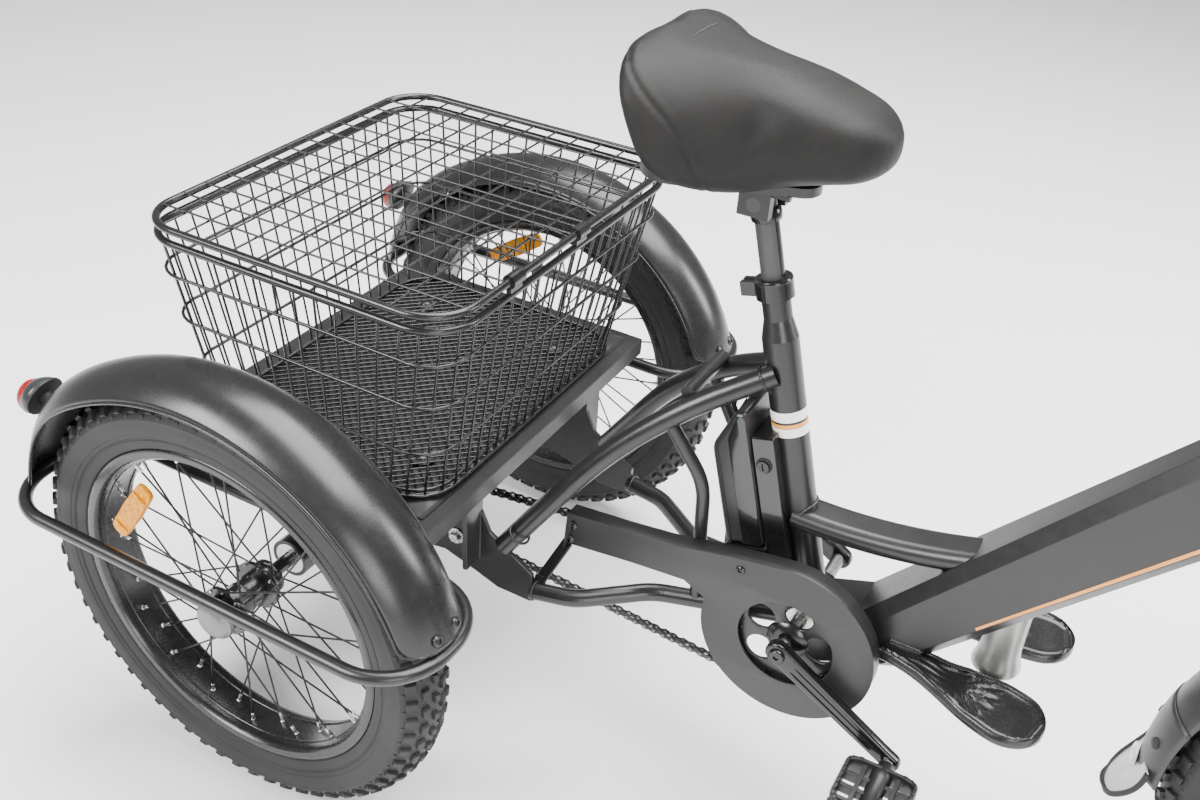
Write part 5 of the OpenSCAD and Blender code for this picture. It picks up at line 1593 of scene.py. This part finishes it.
def make_front_fender():
    s = Shape(FRONT_WHEEL)
    curve, half = 56.0, 44.0
    reach = math.asin(half / curve)
    rows, cols = 110, 18
    pieces = ((52.0, 150.0, 0.0, 0.0), (148.5, 166.5, 1.6, 1.0), (165.0, 183.0, 3.0, 2.0))
    for first, last, lift, swell in pieces:
        verts = []
        count = max(8, int(rows * (last - first) / 130))
        for i in range(count + 1):
            a = math.radians(first + (last - first) * i / count)
            for k in range(cols + 1):
                psi = reach * (1 + swell * 0.012) * (2 * k / cols - 1)
                r = FENDER_R - 3 - curve + (curve + lift) * math.cos(psi)
                verts.append((r * math.cos(a), (curve + lift) * math.sin(psi), r * math.sin(a)))
        s.add(verts, quads(count + 1, cols + 1))
    s.make("fender_front", FENDER_PLASTIC, "fork_lowers", smooth=50, thick=2.4, replaces=["front_fender"],
           slot="black_plastic")
    bits = Shape(FRONT_WHEEL)
    for angle, psi in ((157, -28), (157, 28), (174, -28), (174, 28)):
        a, p = math.radians(angle), math.radians(psi)
        r = FENDER_R - 3 - curve + (curve + 2.4) * math.cos(p)
        centre = Vector((r * math.cos(a), (curve + 2.4) * math.sin(p), r * math.sin(a)))
        out = Vector((math.cos(a) * math.cos(p), math.sin(p), math.sin(a) * math.cos(p)))
        bits.lathe([(0, 3.8), (3.0, 3.8), (5.6, 3.0), (6.4, 1.4), (6.4, -1.0)], 20,
                   local=rod_matrix(centre, centre + out))
    bits.make("fender_pins", SEAL_RUBBER, "fork_lowers", smooth=45)
    stays = Shape(FRONT_WHEEL)
    for sign in (-1, 1):
        stays.sweep([(0, sign * 83, 0), (-30, sign * 80, 12), (-240, sign * 50, 112), (-262, sign * 45, 122),
                     (-268, sign * 41, 128)], 2.5, 10)
    stays.make("fender_stays", GLOSS, "fork_lowers", smooth=60)
    flap = Shape(FRONT_WHEEL)
    rows, cols = 26, 20
    verts = []
    for i in range(rows + 1):
        t = i / rows
        a = math.radians(180.0 + 11.5 * t)
        r = 300.0 + 4 * t + 34.0 * t ** 2.1
        w = (43.0 + 3 * math.sin(math.pi * t) - 15.0 * t ** 3)
        if t > 0.8:
            w *= math.sqrt(max(0.02, 1 - ((t - 0.8) / 0.2) ** 2.4)) * 0.55 + 0.45
        for k in range(cols + 1):
            v = 2 * k / cols - 1
            dip = (1 - v * v) * (9 - 5 * t)
            verts.append(((r - 10 + dip) * math.cos(a), w * v, (r - 10 + dip) * math.sin(a)))
    n = cols + 1
    flap.add(verts, quads(rows + 1, n))
    flap.make("mudflap", FLAP_GREY, "fork_lowers", smooth=60, thick=2.0)
    rim = Shape(FRONT_WHEEL)
    loop = [verts[i * n] for i in range(rows + 1)] + [verts[rows * n + k] for k in range(1, n - 1)] \
        + [verts[i * n + cols] for i in range(rows, -1, -1)]
    rim.sweep(loop, 3.2, 8)
    rim.make("mudflap_rim", SEAL_RUBBER, "fork_lowers", smooth=60)
    lens = Shape(FRONT_WHEEL @ turn(-183.5, "Y") @ shift(304.5, 0, 0) @ turn(90, "Y"))
    lens.lathe([(0, 5.0), (9, 4.6), (12.6, 3.2), (13.4, 1.0), (13.4, -2.0)], 32)
    lens.make("flap_reflector", CLEAR, "fork_lowers", smooth=45)


# ---- cockpit and fork ------------------------------------------------------

def make_cockpit():
    knee = Vector((40, -150, 772))
    end = Vector((-66, -320, 786))
    way = (end - knee).normalized()
    outer = end - 4 * way
    inner = outer - 120 * way
    for side, flip, node, body in (("right", Matrix.Identity(4), "throttle_grip", "throttle_grip"),
                                   ("left", FLIP_Y, "grip_left", "steering")):
        s = Shape(STEERING @ flip @ rod_matrix(inner, outer))
        profile = [(11.4, 0), (19.5, 0.3), (20.2, 1.6), (20.2, 4.0), (16.4, 5.4)]
        z = 7.0
        while z < 112:
            profile += [(15.2, z), (16.4, z + 0.9), (16.4, z + 2.6), (15.2, z + 3.5)]
            z += 5.2
        profile += [(16.5, 114), (17.2, 116), (17.0, 120), (15.5, 121.2), (0, 121.4)]
        s.lathe(profile, 40)
        s.make("ribbed_grip_" + side, GRIP_RUBBER, body, smooth=50, replaces=[node], slot="grip_rubber")
    stem = Shape(STEERING)
    for x, y in ((75, -9), (75, 9)):
        hex_bolt(stem, shift(x + 3, y, 690) @ turn(90, "Y"), 6.5, 4.0, 5.0)
    stem.lathe([(0, 641.5), (6, 641.5), (7, 640.5), (19, 639.6), (19.4, 637), (19.2, 628)], 32)
    stem.make("stem_hardware", GLOSS, "steering", smooth=35)
    lamp_at = STEERING @ shift(62, 0, 438) @ turn(90, "Y")
    lamp = Shape(lamp_at)
    lamp.lathe([(0, 45.6), (10, 45.2), (20, 43.8), (25.4, 42.4), (25.8, 41.0)], 48)
    lamp.make("headlight_glass", CLEAR, "steering", smooth=60)
    bezel = Shape(lamp_at)
    bezel.lathe([(25.2, 41.0), (26.4, 44.0), (28.4, 44.4), (29.8, 43.0), (29.9, 38.0), (29.2, 37.0)], 48)
    for z in (2, 12):
        bezel.lathe([(24.1, z), (25.0, z + 2), (25.0, z + 4), (24.1, z + 6)], 40)
    bezel.make("headlight_bezel", GLOSS, "steering", smooth=45)
    seals = Shape(STEERING)
    for y in (-62, 62):
        seals.lathe([(14.3, 256.5), (17.4, 256.0), (18.6, 254.0), (18.8, 248.0), (19.2, 246.0),
                     (18.2, 243.0)], 40, local=shift(38, y, 0))
        seals.lathe([(18.0, -20), (19.0, -18), (19.0, -8), (18.0, -6)], 40, local=shift(38, y, 0))
    seals.make("fork_seals", SEAL_RUBBER, "fork_lowers", smooth=45)
    nuts = Shape(STEERING)
    for sign in (-1, 1):
        hex_bolt(nuts, shift(45, sign * 80.0, 0) @ outward(sign), 15, 7, 11)
    nuts.make("front_axle_nuts", ZINC, "fork_lowers", smooth=28)
    rotor = [circle(0, 0, 79.5, 72), list(reversed(circle(0, 0, 62.0, 60)))]
    place = Matrix.Translation(at(WHEELBASE, 40.0, TYRE_R)) @ MM @ ALONG_Y
    plate("rotor_track", rotor, 2.6, place, ZINC, "front_wheel", bevel=0.4)
    # painted shade: dark discs on both faces of the rotor stand for its drilled holes
    hole_shade_discs = Shape(place)
    for a in angles(24):
        for r, da in ((66.5, 0.0), (71.0, 0.05), (75.5, 0.1)):
            for profile in ([(0, 1.55), (1.9, 1.5), (1.9, 1.2)], [(1.9, -1.2), (1.9, -1.5), (0, -1.55)]):
                hole_shade_discs.lathe(profile, 8, local=shift(*polar(r, a + da), 0))
    hole_shade_discs.make("rotor_hole_shade", SEAL_RUBBER, "front_wheel", smooth=60)


# ---- everything ------------------------------------------------------------

make_camera()
make_stage()
dress_cad()
make_wheels()
make_fenders()
make_deck()
make_basket()
make_drive()
make_battery()
for which, across in SIDES:
    make_footrest(which, across)
make_cup()
make_stripes()
make_welds()
make_bolts()
make_saddle()
make_seat_post()
make_front_fender()
make_cockpit()
